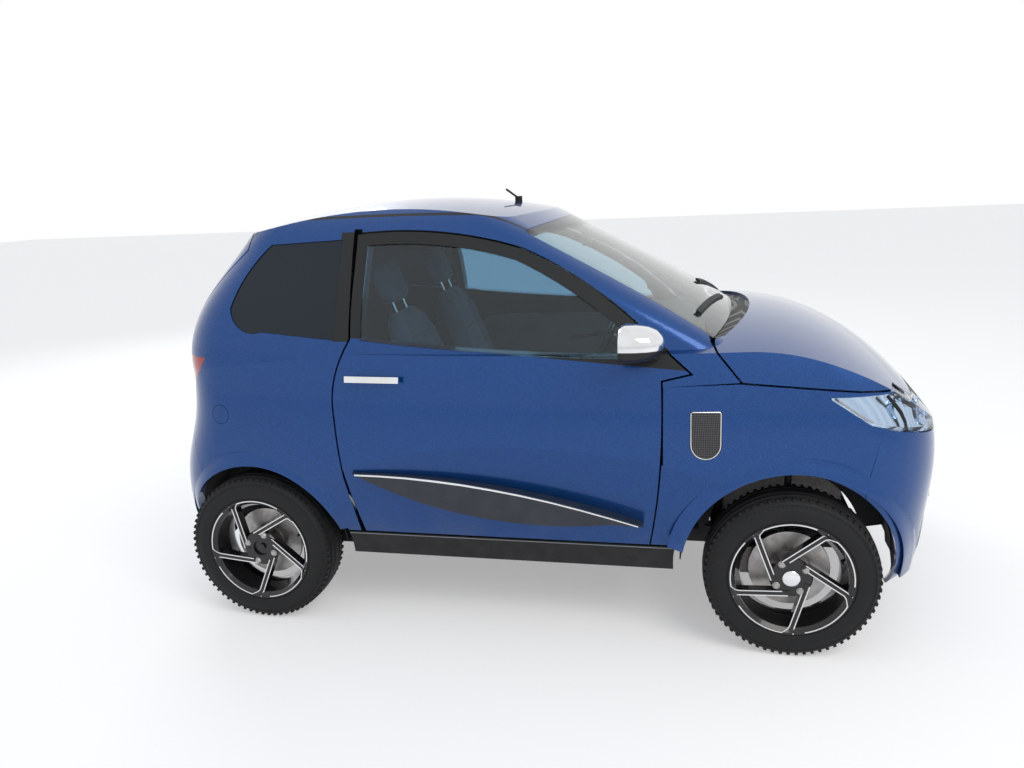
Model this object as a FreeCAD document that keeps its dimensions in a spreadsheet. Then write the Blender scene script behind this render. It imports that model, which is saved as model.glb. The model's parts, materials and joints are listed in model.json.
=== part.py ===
import FreeCAD, Part
import math
import os
from collections import namedtuple

Vector = FreeCAD.Vector
doc = FreeCAD.newDocument("microcar")

# Driving dimensions, in millimetres and degrees
# The car stands on the ground at z = 0 with its nose towards +X and its left side towards +Y.
dim = doc.addObject("Spreadsheet::Sheet", "Dim")
DIMENSIONS = [
    ("overall_length", 2758),
    ("body_width", 1500),
    ("roof_height", 1467),
    ("wheelbase", 1824),
    ("front_overhang", 508),
    ("track", 1300),
    ("tyre_radius", 271),
    ("tyre_width", 155),
    ("rim_radius", 190),
    ("bead_radius", 178),
    ("rim_depth", 128),
    ("hub_radius", 62),
    ("spoke_count", 5),
    ("bolt_circle", 98),
    ("disc_radius", 122),
    ("disc_thickness", 12),
    ("arch_radius", 342),
    ("front_arch_radius", 346),
    ("arch_liner_wall", 5),
    ("wall", 60),
    ("roof_wall", 32),
    ("skin", 18),
    ("glass", 5),
    ("glass_depth", 4),
    ("shut_gap", 6),
    ("tailgate_gap", 8.5),
    ("seat_gap", 0.3),
    ("belt_height", 1030),
    ("floor_height", 285),
    ("floor_sheet", 20),
    ("bumper_bottom", 180),
    ("sill_bottom", 252),
    ("door_bottom", 345),
    ("steer_axis_y", 582),
    ("kingpin_lean", 10),
    ("disc_inset", 34),
    ("cap_radius", 33),
    ("plate_length", 520),
    ("plate_height", 110),
    ("trim_clearance", 14),
    ("door_hinge_x", 470),
    ("door_hinge_y", 752),
    ("swing_radius", 152),
    ("front_arch_shift", -18),
    ("wheelhouse_inner", 440),
    ("luggage_height", 500),
    ("floor_half", 640),
    ("seat_y", 300),
    ("seat_width", 440),
    ("seat_recline", 20),
    ("rail_y", 300),
    ("rail_width", 50),
    ("rail_depth", 62),
    ("eye_radius", 13),
    ("engine_width", 520),
]
for row, (alias, number) in enumerate(DIMENSIONS, start=1):
    dim.set(f"A{row}", alias)
    dim.set(f"B{row}", str(number))
    dim.setAlias(f"B{row}", alias)
doc.recompute()


def size(alias):
    return float(dim.get(alias))


half_length = size("overall_length") / 2
half_width = size("body_width") / 2
roof_height = size("roof_height")
front_axle = half_length - size("front_overhang")
rear_axle = front_axle - size("wheelbase")
half_track = size("track") / 2
tyre_radius = size("tyre_radius")
wall = size("wall")
skin = size("skin")
glass = size("glass")
glass_depth = size("glass_depth")
shut_gap = size("shut_gap")
tailgate_gap = size("tailgate_gap")
seat_gap = size("seat_gap")
belt_height = size("belt_height")
floor_height = size("floor_height")
floor_sheet = size("floor_sheet")
roof_wall = size("roof_wall")
trim_clearance = size("trim_clearance")
door_hinge_x = size("door_hinge_x")
door_hinge_y = size("door_hinge_y")
swing_radius = size("swing_radius")
door_bottom = size("door_bottom")
sill_bottom = size("sill_bottom")
arch_radius = size("arch_radius")
front_arch_radius = size("front_arch_radius")
front_arch_shift = size("front_arch_shift")
liner_wall = size("arch_liner_wall")
wheelhouse_inner = size("wheelhouse_inner")
luggage_height = size("luggage_height")
floor_half = size("floor_half")
seat_y = size("seat_y")
seat_width = size("seat_width")
seat_recline = size("seat_recline")
steer_axis_y = size("steer_axis_y")
engine_half = size("engine_width") / 2
rim_radius = size("rim_radius")
bead_radius = size("bead_radius")
hub_radius = size("hub_radius")
disc_radius = size("disc_radius")
cap_radius = size("cap_radius")
disc_inset = size("disc_inset")
plate_length = size("plate_length")
plate_height = size("plate_height")
roof_end = -968
hinge_height = 1402
SIDES = (("left", 1), ("right", -1))

nodes = []


def keep(item, label):
    """Give a sub-part its own label, which names its file."""
    item.Label = label
    nodes.append(item)
    return item


def feature(label, shape):
    item = doc.addObject("Part::Feature", label)
    item.Shape = shape
    return keep(item, label)


def bound_box(label, x_low, x_high, y_low, y_high, z_low, z_high):
    """A box between six planes, each an expression on the driving dimensions."""
    item = doc.addObject("Part::Box", label)
    item.setExpression("Length", f"({x_high}) - ({x_low})")
    item.setExpression("Width", f"({y_high}) - ({y_low})")
    item.setExpression("Height", f"({z_high}) - ({z_low})")
    item.setExpression("Placement.Base.x", x_low)
    item.setExpression("Placement.Base.y", y_low)
    item.setExpression("Placement.Base.z", z_low)
    return item


def bound_cylinder(label, radius, length, x, y, z, axis):
    """A cylinder that starts at x, y, z and runs along axis."""
    item = doc.addObject("Part::Cylinder", label)
    turn = FreeCAD.Rotation(Vector(0, 0, 1), axis)
    item.Placement = FreeCAD.Placement(Vector(0, 0, 0), turn)
    item.setExpression("Radius", radius)
    item.setExpression("Height", length)
    item.setExpression("Placement.Base.x", x)
    item.setExpression("Placement.Base.y", y)
    item.setExpression("Placement.Base.z", z)
    return item


def fuse(label, items):
    item = doc.addObject("Part::MultiFuse", label)
    item.Shapes = items
    return item


def cut(label, base, tool):
    item = doc.addObject("Part::Cut", label)
    item.Base = base
    item.Tool = tool
    return item


# Outlines in one plane, from lines and three-point arcs


def arc(start, middle, end):
    return Part.Arc(Vector(*start), Vector(*middle), Vector(*end)).toShape()


def line(start, end):
    return Part.LineSegment(Vector(*start), Vector(*end)).toShape()


def outline(start, steps, place):
    """A closed wire: each step is (end,) for a line or (middle, end) for an arc."""
    edges = []
    here = start
    for step in steps:
        if len(step) == 1:
            edges.append(line(place(here), place(step[0])))
        else:
            edges.append(arc(place(here), place(step[0]), place(step[1])))
        here = step[-1]
    if math.dist(here, start) > 1e-6:
        edges.append(line(place(here), place(start)))
    return Part.Wire(edges)


def side_point(point):
    return (point[0], 0, point[1])


def plan_point(point):
    return (point[0], point[1], 0)


def rear_point(point):
    return (0, point[0], point[1])


def grown(wire, margin):
    """The face inside a wire, moved out by a margin, or in where it is negative."""
    face = Part.Face(wire)
    if margin == 0:
        return face
    return face.makeOffset2D(margin, join=2)


def side_prism(wire, margin, side):
    """A side-view outline carried from the middle of the car out past one flank."""
    face = grown(wire, margin)
    return face.extrude(Vector(0, side * body_reach, 0))


body_reach = half_width + 150


# The body's outer form
# Each level is a plan outline: how far the nose, the flanks and the tail stand back from the overall box.
Level = namedtuple("Level", "height nose nose_radius nose_corner flank tail tail_corner")
TAIL_RADIUS = 2600
FLANK_RADIUS = 9000

LOWER_LEVELS = [
    Level(size("bumper_bottom"), 85, 1900, 300, 66, 75, 240),
    Level(260, 32, 1900, 290, 40, 14, 230),
    Level(400, 16, 1900, 280, 12, 0, 225),
    Level(580, 0, 1900, 275, 0, 20, 230),
    Level(720, 12, 1900, 285, 0, 66, 230),
    Level(860, 60, 1900, 300, 14, 84, 220),
    Level(960, 110, 1900, 320, 38, 88, 210),
    Level(1045, 160, 1900, 340, 62, 104, 200),
]
CABIN_LEVELS = [
    Level(880, 437, 1800, 150, 52, 80, 210),
    Level(1030, 659, 1600, 130, 66, 100, 195),
    Level(1200, 950, 1350, 120, 134, 198, 180),
    Level(1330, 1186, 1150, 120, 204, 305, 165),
    Level(1400, 1318, 1100, 120, 246, 362, 150),
    Level(1450, 1420, 1050, 120, 310, 410, 140),
    Level(1490, 1500, 1000, 110, 390, 460, 120),
]


def meet(centre_a, radius_a, centre_b, radius_b):
    """The crossing of two circles that lies furthest out to the left of the car."""
    dx = centre_b[0] - centre_a[0]
    dy = centre_b[1] - centre_a[1]
    apart = math.hypot(dx, dy)
    along = (radius_a**2 - radius_b**2 + apart**2) / (2 * apart)
    off = math.sqrt(max(radius_a**2 - along**2, 0))
    found = []
    for turn in (1, -1):
        found.append((centre_a[0] + (along * dx - turn * off * dy) / apart,
                      centre_a[1] + (along * dy + turn * off * dx) / apart))
    return found


def beyond(centre, through, radius):
    """The point of a circle that lies beyond another point, seen from its centre."""
    dx = through[0] - centre[0]
    dy = through[1] - centre[1]
    apart = math.hypot(dx, dy)
    return (centre[0] + radius * dx / apart, centre[1] + radius * dy / apart)


def corner(end_x, end_radius, flank_x, flank_y, radius, ahead):
    """The rounded corner between an end arc and a flank: end point, middle, flank point."""
    end_centre = (end_x - ahead * end_radius, 0)
    flank_centre = (flank_x, flank_y - FLANK_RADIUS)
    choices = meet(end_centre, end_radius - radius, flank_centre, FLANK_RADIUS - radius)
    centre = max(choices, key=lambda spot: ahead * spot[0] + spot[1])
    on_end = beyond(end_centre, centre, end_radius)
    on_flank = beyond(flank_centre, centre, FLANK_RADIUS)
    middle = beyond(centre, ((on_end[0] + on_flank[0]) / 2, (on_end[1] + on_flank[1]) / 2), radius)
    return on_end, middle, on_flank


def plan_wire(level, inset):
    nose = half_length - level.nose - inset
    tail = level.tail + inset - half_length
    flank = half_width - level.flank - inset
    nose_corner = max(level.nose_corner - inset, 12)
    tail_corner = max(level.tail_corner - inset, 12)
    middle = (nose + tail) / 2
    front = corner(nose, level.nose_radius - inset, middle, flank, nose_corner, 1)
    rear = corner(tail, TAIL_RADIUS - inset, middle, flank, tail_corner, -1)

    def at(point, side):
        return (point[0], side * point[1], level.height)

    edges = [
        arc(at(front[0], -1), (nose, 0, level.height), at(front[0], 1)),
        arc(at(front[0], 1), at(front[1], 1), at(front[2], 1)),
        arc(at(front[2], 1), (middle, flank, level.height), at(rear[2], 1)),
        arc(at(rear[2], 1), at(rear[1], 1), at(rear[0], 1)),
        arc(at(rear[0], 1), (tail, 0, level.height), at(rear[0], -1)),
        arc(at(rear[0], -1), at(rear[1], -1), at(rear[2], -1)),
        arc(at(rear[2], -1), (middle, -flank, level.height), at(front[2], -1)),
        arc(at(front[2], -1), at(front[1], -1), at(front[0], -1)),
    ]
    return Part.Wire(edges)


ROOF_CROWN = 3900
BONNET_CROWN = 4200
roof_front = (60, roof_height - 62)
roof_top = (-453, roof_height)
roof_rear = (-1010, roof_height - 72)
bonnet_rear = (720, 1046)
bonnet_middle = (1075, 957)
bonnet_front = (half_length + 8, 640)
TOP_OVERRUN = 700


def crowned(start, steps, crown, drop):
    """A side profile swept across the car on a wide arc, so that its top is crowned."""
    def place(point):
        return (point[0], 0, point[1] - drop)

    face = Part.Face(outline(start, steps, place))
    axis_at = Vector(0, 0, roof_height - crown)
    spread = 2 * math.degrees(math.asin(body_reach / crown))
    face.rotate(axis_at, Vector(1, 0, 0), -spread / 2)
    return face.revolve(axis_at, Vector(1, 0, 0), spread)


def body_form(inset, drop):
    """The body's outer form, moved in by inset at its flanks and ends and by drop at its top."""
    roof = crowned(
        (-half_length - 50, 400),
        [((-half_length - 50, roof_rear[1] - 60),), (roof_rear,), (roof_top, roof_front),
         ((roof_front[0] + TOP_OVERRUN, roof_front[1] - 220),), ((roof_front[0] + TOP_OVERRUN, 400),)],
        ROOF_CROWN, drop)
    bonnet = crowned(
        (-half_length - 50, 0),
        [((-half_length - 50, bonnet_rear[1]),), (bonnet_rear,), (bonnet_middle, bonnet_front),
         ((bonnet_front[0], 0),)],
        BONNET_CROWN, drop)
    cabin = Part.makeLoft([plan_wire(level, inset) for level in CABIN_LEVELS], True, False)
    lower = Part.makeLoft([plan_wire(level, inset) for level in LOWER_LEVELS], True, False)
    return cabin.common(roof).fuse(lower.common(bonnet))


outer = body_form(0, 0)
glass_outer = body_form(glass_depth, glass_depth)
glass_inner = body_form(glass_depth + glass, glass_depth + glass)
under_skin = body_form(skin, skin)
cabin_space = body_form(wall, roof_wall)
trim_space = body_form(wall + trim_clearance, roof_wall + trim_clearance)
cabin_shell = outer.cut(cabin_space)
thin_shell = outer.cut(under_skin)


# Outlines of the panels, in side view (x, z), plan (x, y) or rear view (y, z)
door_outline = outline(
    (-553, door_bottom),
    [((-590, 557), (-606, 770)), ((-592, 930), (-543, belt_height)), ((-546, 1362),),
     ((-207, 1352), (23, 1300)), ((213, 1203), (401, 1063)), ((556, 924),), ((470, 905),),
     ((466, 620), (431, door_bottom))],
    side_point)
window_outline = outline(
    (-508, 1026),
    [((-508, 1326),), ((-207, 1314), (8, 1266)), ((190, 1168), (352, 1052)), ((396, 968),),
     ((-60, 985), (-508, 1026))],
    side_point)
quarter_outline = outline(
    (-600, 1026),
    [((-600, 1348),), ((-869, 1338),), ((-960, 1230), (-1004, 1130)), ((-975, 1072), (-880, 1052)),
     ((-600, 1026),)],
    side_point)
windscreen_outline = outline(
    (628, -592),
    [((705, 0), (628, 592)), ((24, 498),), ((98, 0), (24, -498)), ((628, -592),)],
    plan_point)
bonnet_side = outline(
    (625, 1004),
    [((712, 897),), ((880, 882),), ((1049, 867),), ((1165, 861),), ((1230, 812),), ((1500, 745),),
     ((1500, 1250),), ((560, 1250),)],
    side_point)
bonnet_plan = outline(
    (632, -700),
    [((632, -600),), ((770, 0), (632, 600)), ((632, 700),), ((1500, 900),), ((1500, -900),)],
    plan_point)
cowl_plan = outline(
    (640, -640),
    [((712, 0), (640, 640)), ((700, 640),), ((800, 0), (700, -640))],
    plan_point)
lamp_outline = outline(
    (960, 848),
    [((1165, 852),), ((1230, 804),), ((1420, 752),), ((1380, 690),), ((1084, 764),)],
    side_point)
front_bumper_outline = outline(
    (1119, 752),
    [((1080, 569),), ((1080, 120),), ((1500, 120),), ((1500, 740),), ((1380, 684),)],
    side_point)
rear_bumper_outline = outline(
    (-1150, 120),
    [((-1150, 470),), ((-1235, 694),), ((-1500, 694),), ((-1500, 120),)],
    side_point)
tail_lamp_outline = outline(
    (-1112, 960),
    [((-1215, 835),), ((-1500, 850),), ((-1500, 966),)],
    side_point)
tailgate_outline = outline(
    (-500, 700),
    [((-514, 850),), ((-546, 1060),), ((-492, 1460),), ((492, 1460),), ((546, 1060),), ((514, 850),),
     ((500, 700),)],
    rear_point)
tail_window_outline = outline(
    (-500, 985),
    [((-440, 1352),), ((440, 1352),), ((500, 985),), ((0, 965), (-500, 985))],
    rear_point)
roof_plan = outline(
    (roof_end, -486),
    [((40, -486),), ((110, 0), (40, 486)), ((roof_end, 486),)],
    plan_point)
body_side_outline = outline(
    (-1500, 700),
    [((-1500, 1460),), ((-900, 1560),), ((150, 1560),), ((632, 1010),), ((712, 897),), ((476, 885),),
     ((476, 344),), ((-640, 344),), ((-1150, 344),), ((-1150, 470),), ((-1235, 700),)],
    side_point)
wing_outline = outline(
    (478, 885),
    [((712, 892),), ((880, 877),), ((1049, 862),), ((1160, 858),), ((1119, 752),), ((1078, 569),),
     ((1078, 252),), ((478, 252),)],
    side_point)
sill_outline = outline(
    (-640, sill_bottom),
    [((560, sill_bottom),), ((560, 338),), ((-640, 338),)],
    side_point)
vent_outline = outline(
    (558, 812),
    [((653, 812),), ((653, 720),), ((606, 660), (558, 720))],
    side_point)


def upright(wire, margin, low, high):
    """A plan outline carried up from one height to another."""
    face = grown(wire, margin)
    face.translate(Vector(0, 0, low))
    return face.extrude(Vector(0, 0, high - low))


def rearward(wire, margin, front):
    """A rear-view outline carried back from a plane to behind the car."""
    face = grown(wire, margin)
    face.translate(Vector(front, 0, 0))
    return face.extrude(Vector(-2000 - front, 0, 0))


def both_flanks(wire, margin):
    face = grown(wire, margin)
    face.translate(Vector(0, -body_reach, 0))
    return face.extrude(Vector(0, 2 * body_reach, 0))


def slab(x_low, x_high, y_low, y_high, z_low, z_high):
    return Part.makeBox(x_high - x_low, y_high - y_low, z_high - z_low, Vector(x_low, y_low, z_low))


def arch(axle_x, radius, inner):
    """The round opening over a left wheel, from inner out past the flank."""
    return Part.makeCylinder(radius, body_reach - inner, Vector(axle_x, inner, tyre_radius), Vector(0, 1, 0))


def solid(shape):
    """The largest solid of a shape, without slivers that a cut may leave."""
    return sorted(shape.Solids, key=lambda piece: piece.Volume)[-1]


def mirrored(shape):
    return shape.mirror(Vector(0, 0, 0), Vector(0, 1, 0))


def both_sides(label, shape):
    """One left piece and its mirror image on the right, in one node."""
    return feature(label, Part.makeCompound([shape, mirrored(shape)]))


def left_and_right(label, shape):
    """A left piece and its mirror image on the right, each a node of its own."""
    feature(label + "_left", shape)
    feature(label + "_right", mirrored(shape))


tailgate_front = roof_end - shut_gap
tailgate_opening = rearward(tailgate_outline, tailgate_gap, roof_end)
windscreen_opening = upright(windscreen_outline, 0, 940, 1600)
roof_opening = upright(roof_plan, seat_gap, 1300, 1600)
bonnet_opening = both_flanks(bonnet_side, shut_gap)
middle = slab(-2000, 2000, -400, 400, 0, 1600)
left_half = slab(-2000, 2000, 0, body_reach, 0, 1600)
rear_arch = arch(rear_axle, arch_radius, 400)
front_arch = arch(front_axle + front_arch_shift, front_arch_radius, 400)
front_arches = [front_arch, mirrored(front_arch)]
rear_arches = [rear_arch, mirrored(rear_arch)]

# The door's rear edge runs back as it swings out, so the pillar behind it is bevelled on its inner side.
EdgePoint = namedtuple("EdgePoint", "height edge surface")
DOOR_REAR_EDGE = [
    EdgePoint(335, -553, 710),
    EdgePoint(557, -590, 732),
    EdgePoint(770, -606, 727),
    EdgePoint(930, -592, 701),
    EdgePoint(1030, -543, 688),
    EdgePoint(1200, -545, 625),
    EdgePoint(1300, -546, 586),
    EdgePoint(1380, -546, 548),
]
BEVEL_SLOPE = 0.3
BEVEL_DEPTH = 80
bevel_sections = []
for point in DOOR_REAR_EDGE:
    start = point.edge - shut_gap
    deep = point.surface - BEVEL_DEPTH
    bevel_sections.append(Part.makePolygon([
        Vector(start + 20, point.surface, point.height), Vector(start, point.surface, point.height),
        Vector(start - BEVEL_SLOPE * BEVEL_DEPTH, deep, point.height), Vector(start + 20, deep, point.height),
        Vector(start + 20, point.surface, point.height)]))
pillar_bevel = Part.makeLoft(bevel_sections, True, True)

# Panels of one flank
body_side = cabin_shell.common(side_prism(body_side_outline, 0, 1)).cut([
    side_prism(door_outline, shut_gap, 1), side_prism(quarter_outline, 0, 1), windscreen_opening,
    roof_opening, tailgate_opening, rear_arch, bonnet_opening,
    side_prism(tail_lamp_outline, seat_gap, 1),
    pillar_bevel, slab(-2000, -700, 0, 400, 1300, 1600)])
body_side = solid(body_side)
feature("body_side_left", body_side)
cap_place = Vector(-1061, -body_reach, 764)
cap_well = outer.common(Part.makeCylinder(cap_radius + 1.5, 300, cap_place, Vector(0, 1, 0))).cut(under_skin)
feature("body_side_right", solid(mirrored(body_side).cut(cap_well)))
door = cabin_shell.common(side_prism(door_outline, 0, 1)).cut([
    side_prism(window_outline, 0, 1), upright(roof_plan, shut_gap, 1300, 1600)])
left_and_right("door", solid(door))
door_pane = side_prism(window_outline, -seat_gap, 1)
left_and_right("door_glass", solid(glass_outer.common(door_pane).cut(glass_inner)))
quarter_pane = side_prism(quarter_outline, -seat_gap, 1)
both_sides("quarter_windows", solid(glass_outer.common(quarter_pane).cut(glass_inner)))
vent = side_prism(vent_outline, 0, 1)
wing = thin_shell.common(side_prism(wing_outline, 0, 1)).cut([
    front_arch, side_prism(lamp_outline, seat_gap, 1), bonnet_opening, vent])
left_and_right("front_wing", solid(wing))
vent_unit = thin_shell.common(side_prism(vent_outline, -seat_gap, 1))
both_sides("side_vents", solid(vent_unit))
sill = cabin_shell.common(side_prism(sill_outline, 0, 1)).cut([rear_arch, front_arch])
both_sides("sill_covers", solid(sill))
headlamp = cabin_shell.common(side_prism(lamp_outline, 0, 1)).cut([middle, bonnet_opening])
both_sides("headlamps", solid(headlamp))
tail_lamp = cabin_shell.common(side_prism(tail_lamp_outline, 0, 1)).cut([tailgate_opening])
both_sides("tail_lamps", solid(tail_lamp))

# Panels that cross the car
roof = cabin_shell.common(upright(roof_plan, 0, 1300, 1600)).cut([windscreen_opening, tailgate_opening])
hinge_barrel = Part.makeCylinder(shut_gap / 2 - seat_gap, 300, Vector(roof_end - shut_gap / 2, -150, hinge_height),
                                 Vector(0, 1, 0))
feature("roof_panel", Part.makeCompound([solid(roof), hinge_barrel]))
screen = upright(windscreen_outline, -seat_gap, 940, 1600)
feature("windscreen", solid(glass_outer.common(screen).cut(glass_inner)))
bonnet = thin_shell.common(both_flanks(bonnet_side, 0)).common(upright(bonnet_plan, 0, 600, 1600))
feature("bonnet", solid(bonnet))
lamp_opening = both_flanks(lamp_outline, seat_gap)
lower_grille_opening = slab(1100, 1500, -330, 330, 235, 335)
front_bumper = thin_shell.common(both_flanks(front_bumper_outline, 0)).cut(
    front_arches + [lamp_opening, bonnet_opening, lower_grille_opening])
feature("front_bumper", solid(front_bumper))
rear_bumper = thin_shell.common(both_flanks(rear_bumper_outline, 0)).cut(rear_arches)
feature("rear_bumper", solid(rear_bumper))
tailgate = cabin_shell.common(rearward(tailgate_outline, 0, tailgate_front)).cut([
    rearward(tail_window_outline, 0, tailgate_front)])
feature("tailgate", solid(tailgate))
tail_pane = rearward(tail_window_outline, -seat_gap, tailgate_front)
feature("tailgate_glass", solid(glass_outer.common(tail_pane).cut(glass_inner)))
upper_grille = thin_shell.common(both_flanks(lamp_outline, 0)).common(
    slab(1100, 1500, seat_gap - 400, 400 - seat_gap, 600, 900)).cut(bonnet_opening)
grille_bars = [solid(upper_grille)]
for bar in range(4):
    bar_low = 242 + bar * 24
    grille_bars.append(thin_shell.common(slab(1100, 1500, -330 + seat_gap, 330 - seat_gap, bar_low, bar_low + 9)))
feature("front_grille", Part.makeCompound(grille_bars))
cowl = solid(upright(cowl_plan, 0, 925, 962).common(cabin_space))
feature("cowl_panel", cowl)

# Floor pan, with the toeboard in front, the luggage floor and the rear wall behind
floor_low = floor_height - floor_sheet
floor_parts = [
    slab(-575, 612, -floor_half, floor_half, floor_low, floor_height),
    slab(592, 612, -floor_half, floor_half, floor_low, 924),
    slab(-575, -555, -floor_half, floor_half, floor_low, luggage_height),
    slab(-1285, -575, -wheelhouse_inner + seat_gap, wheelhouse_inner - seat_gap, luggage_height - floor_sheet,
         luggage_height),
    slab(-1285, -1265, -600, 600, floor_low, 690),
]
pan = floor_parts[0].multiFuse(floor_parts[1:]).common(cabin_space).cut(
    front_arches + rear_arches + [upright(cowl_plan, seat_gap, 900, 1000)])

lean = math.radians(size("kingpin_lean"))
axis_up = Vector(0, -math.sin(lean), math.cos(lean))


def on_kingpin(height):
    """The point of the left steering axis at a height over the ground."""
    return Vector(front_axle, steer_axis_y, tyre_radius) + axis_up * ((height - tyre_radius) / math.cos(lean))


# Wheelhouses: a round liner over each wheel, and a wall on its inner side at the rear
strut_hole = Part.makeCylinder(52, 320, on_kingpin(480), axis_up)
liners = []
for axle_x, radius, walled in ((front_axle + front_arch_shift, front_arch_radius, False),
                               (rear_axle, arch_radius, True)):
    ring = Part.makeCylinder(radius + liner_wall, 720 - wheelhouse_inner,
                             Vector(axle_x, wheelhouse_inner, tyre_radius), Vector(0, 1, 0))
    hollow = Part.makeCylinder(radius, 720 - wheelhouse_inner,
                               Vector(axle_x, wheelhouse_inner, tyre_radius), Vector(0, 1, 0))
    liner = ring.cut(hollow)
    if walled:
        wall_disc = Part.makeCylinder(radius, liner_wall,
                                      Vector(axle_x, wheelhouse_inner, tyre_radius), Vector(0, 1, 0))
        liner = liner.fuse(wall_disc)
    room = under_skin.common(slab(axle_x - 400, axle_x + 400, 0, 900, floor_height + 5, 1000))
    liners.append(solid(liner.common(room).cut([cabin_shell, strut_hole])))
liners += [mirrored(liner) for liner in liners]
feature("wheelhouses", Part.makeCompound(liners))
feature("cabin_floor", solid(pan.cut(liners)))

# Dashboard, seated between the flanks with room for the doors' trim
dash_outline = outline(
    (592 - seat_gap, 560),
    [((592 - seat_gap, 920),), ((520, 962), (430, 958)), ((330, 930), (318, 850)), ((350, 720), (430, 600))],
    side_point)
swing_room = [Part.makeCylinder(swing_radius, 500, Vector(door_hinge_x, sign * door_hinge_y, 500))
              for sign in (1, -1)]
dash = trim_space.common(both_flanks(dash_outline, 0)).cut(swing_room)
feature("dashboard", solid(dash))

# Seats: cushion, backrest and headrest on a plinth, one seat each side


def seat(label, side):
    middle_y = side * seat_y
    half = seat_width / 2
    plinth = slab(-300, 60, middle_y - half + 70, middle_y + half - 70, floor_height, 400)
    cushion = slab(-330, 150, middle_y - half, middle_y + half, 400, 525)
    back = slab(0, 110, middle_y - half, middle_y + half, 0, 600)
    head = slab(10, 90, middle_y - 120, middle_y + 120, 622, 790)
    posts = [slab(42, 56, middle_y + shift - 7, middle_y + shift + 7, 560, 660) for shift in (-60, 60)]
    upper = back.multiFuse([head] + posts)
    upper.translate(Vector(-330, 0, 500))
    upper.rotate(Vector(-330, 0, 500), Vector(0, 1, 0), -seat_recline)
    whole = plinth.multiFuse([cushion, upper])
    return feature(label, solid(whole))


for name, side in SIDES:
    seat(f"seat_{name}", side)

# Steering column and wheel
column_base = Vector(560, seat_y, 690)
wheel_centre = Vector(215, seat_y, 850)
column_way = (wheel_centre - column_base).normalize()
column_length = (wheel_centre - column_base).Length
shaft = Part.makeCylinder(19, column_length - 40 - seat_gap, column_base, column_way)
shroud = Part.makeCylinder(42, 150, column_base + column_way * (column_length - 215), column_way)
feature("steering_column", shaft.fuse(shroud).cut(dash))
rim_ring = Part.makeTorus(175, 15, wheel_centre, column_way)
boss = Part.makeCylinder(55, 45, wheel_centre - column_way * 40, column_way)
spokes = []
for turn in (90, 210, 330):
    spoke = slab(20, 172, -14, 14, -8, 6)
    spoke.rotate(Vector(0, 0, 0), Vector(0, 0, 1), turn)
    spoke.Placement = FreeCAD.Placement(wheel_centre, FreeCAD.Rotation(Vector(0, 0, 1), column_way)).multiply(
        spoke.Placement)
    spokes.append(spoke)
feature("steering_wheel", rim_ring.multiFuse([boss] + spokes))

# Ladder frame under the floor
FRONT = "(Dim.overall_length / 2 - Dim.front_overhang)"
REAR = "(Dim.overall_length / 2 - Dim.front_overhang - Dim.wheelbase)"
RAIL_TOP = "(Dim.floor_height - Dim.floor_sheet)"
members = []
for name, sign in (("left", ""), ("right", "-")):
    members.append(bound_box(
        f"rail_{name}", f"{REAR} - 300", f"{FRONT} + 300",
        f"{sign}Dim.rail_y - Dim.rail_width / 2", f"{sign}Dim.rail_y + Dim.rail_width / 2",
        f"{RAIL_TOP} - Dim.rail_depth", RAIL_TOP))
CROSS_MEMBERS = (("nose", f"{FRONT} + 255"), ("front", f"{FRONT} - 170"), ("seat", "-60"),
                 ("arm", f"{REAR} + 375"), ("tail", f"{REAR} - 290"))
for name, place in CROSS_MEMBERS:
    members.append(bound_box(
        f"cross_{name}", f"{place} - 22", f"{place} + 22", "-Dim.rail_y", "Dim.rail_y",
        f"{RAIL_TOP} - Dim.rail_depth + 8", f"{RAIL_TOP} - 4"))
# The front towing eye hangs under the bumper's lip, and the rear one stands behind its rail.
EyeLug = namedtuple("EyeLug", "name low high bottom eye_x eye_z")
EYE_LUGS = (
    EyeLug("nose", f"{FRONT} + 245", f"{FRONT} + 300", "138", f"{FRONT} + 272.5", "160"),
    EyeLug("tail", f"{REAR} - 345", f"{REAR} - 290", f"{RAIL_TOP} - Dim.rail_depth", f"{REAR} - 325.5",
           f"{RAIL_TOP} - Dim.rail_depth / 2"),
)
lugs = []
eye_holes = []
for lug in EYE_LUGS:
    lugs.append(bound_box(f"eye_lug_{lug.name}", lug.low, lug.high, "-Dim.rail_y - 6", "-Dim.rail_y + 6",
                          lug.bottom, RAIL_TOP))
    hole = bound_cylinder(f"eye_hole_{lug.name}", "Dim.eye_radius", "40", lug.eye_x, "-Dim.rail_y - 20", lug.eye_z,
                          Vector(0, 1, 0))
    eye_holes.append(hole)
keep(cut("chassis_frame", fuse("frame_with_lugs", members + lugs), fuse("eye_cutters", eye_holes)), "chassis_frame")

# Engine and gearbox as one block on the frame's front rails
engine = bound_box("engine_block", f"{FRONT} - 190", f"{FRONT} + 215", "-Dim.engine_width / 2",
                   "Dim.engine_width / 2", RAIL_TOP, f"{RAIL_TOP} + 430")
keep(engine, "engine_block")
tank = bound_box("fuel_tank", f"{REAR} + 60", f"{REAR} + 345", "-Dim.rail_y", "Dim.rail_y", RAIL_TOP,
                 f"{RAIL_TOP} + 180")
keep(tank, "fuel_tank")
doc.recompute()

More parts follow.
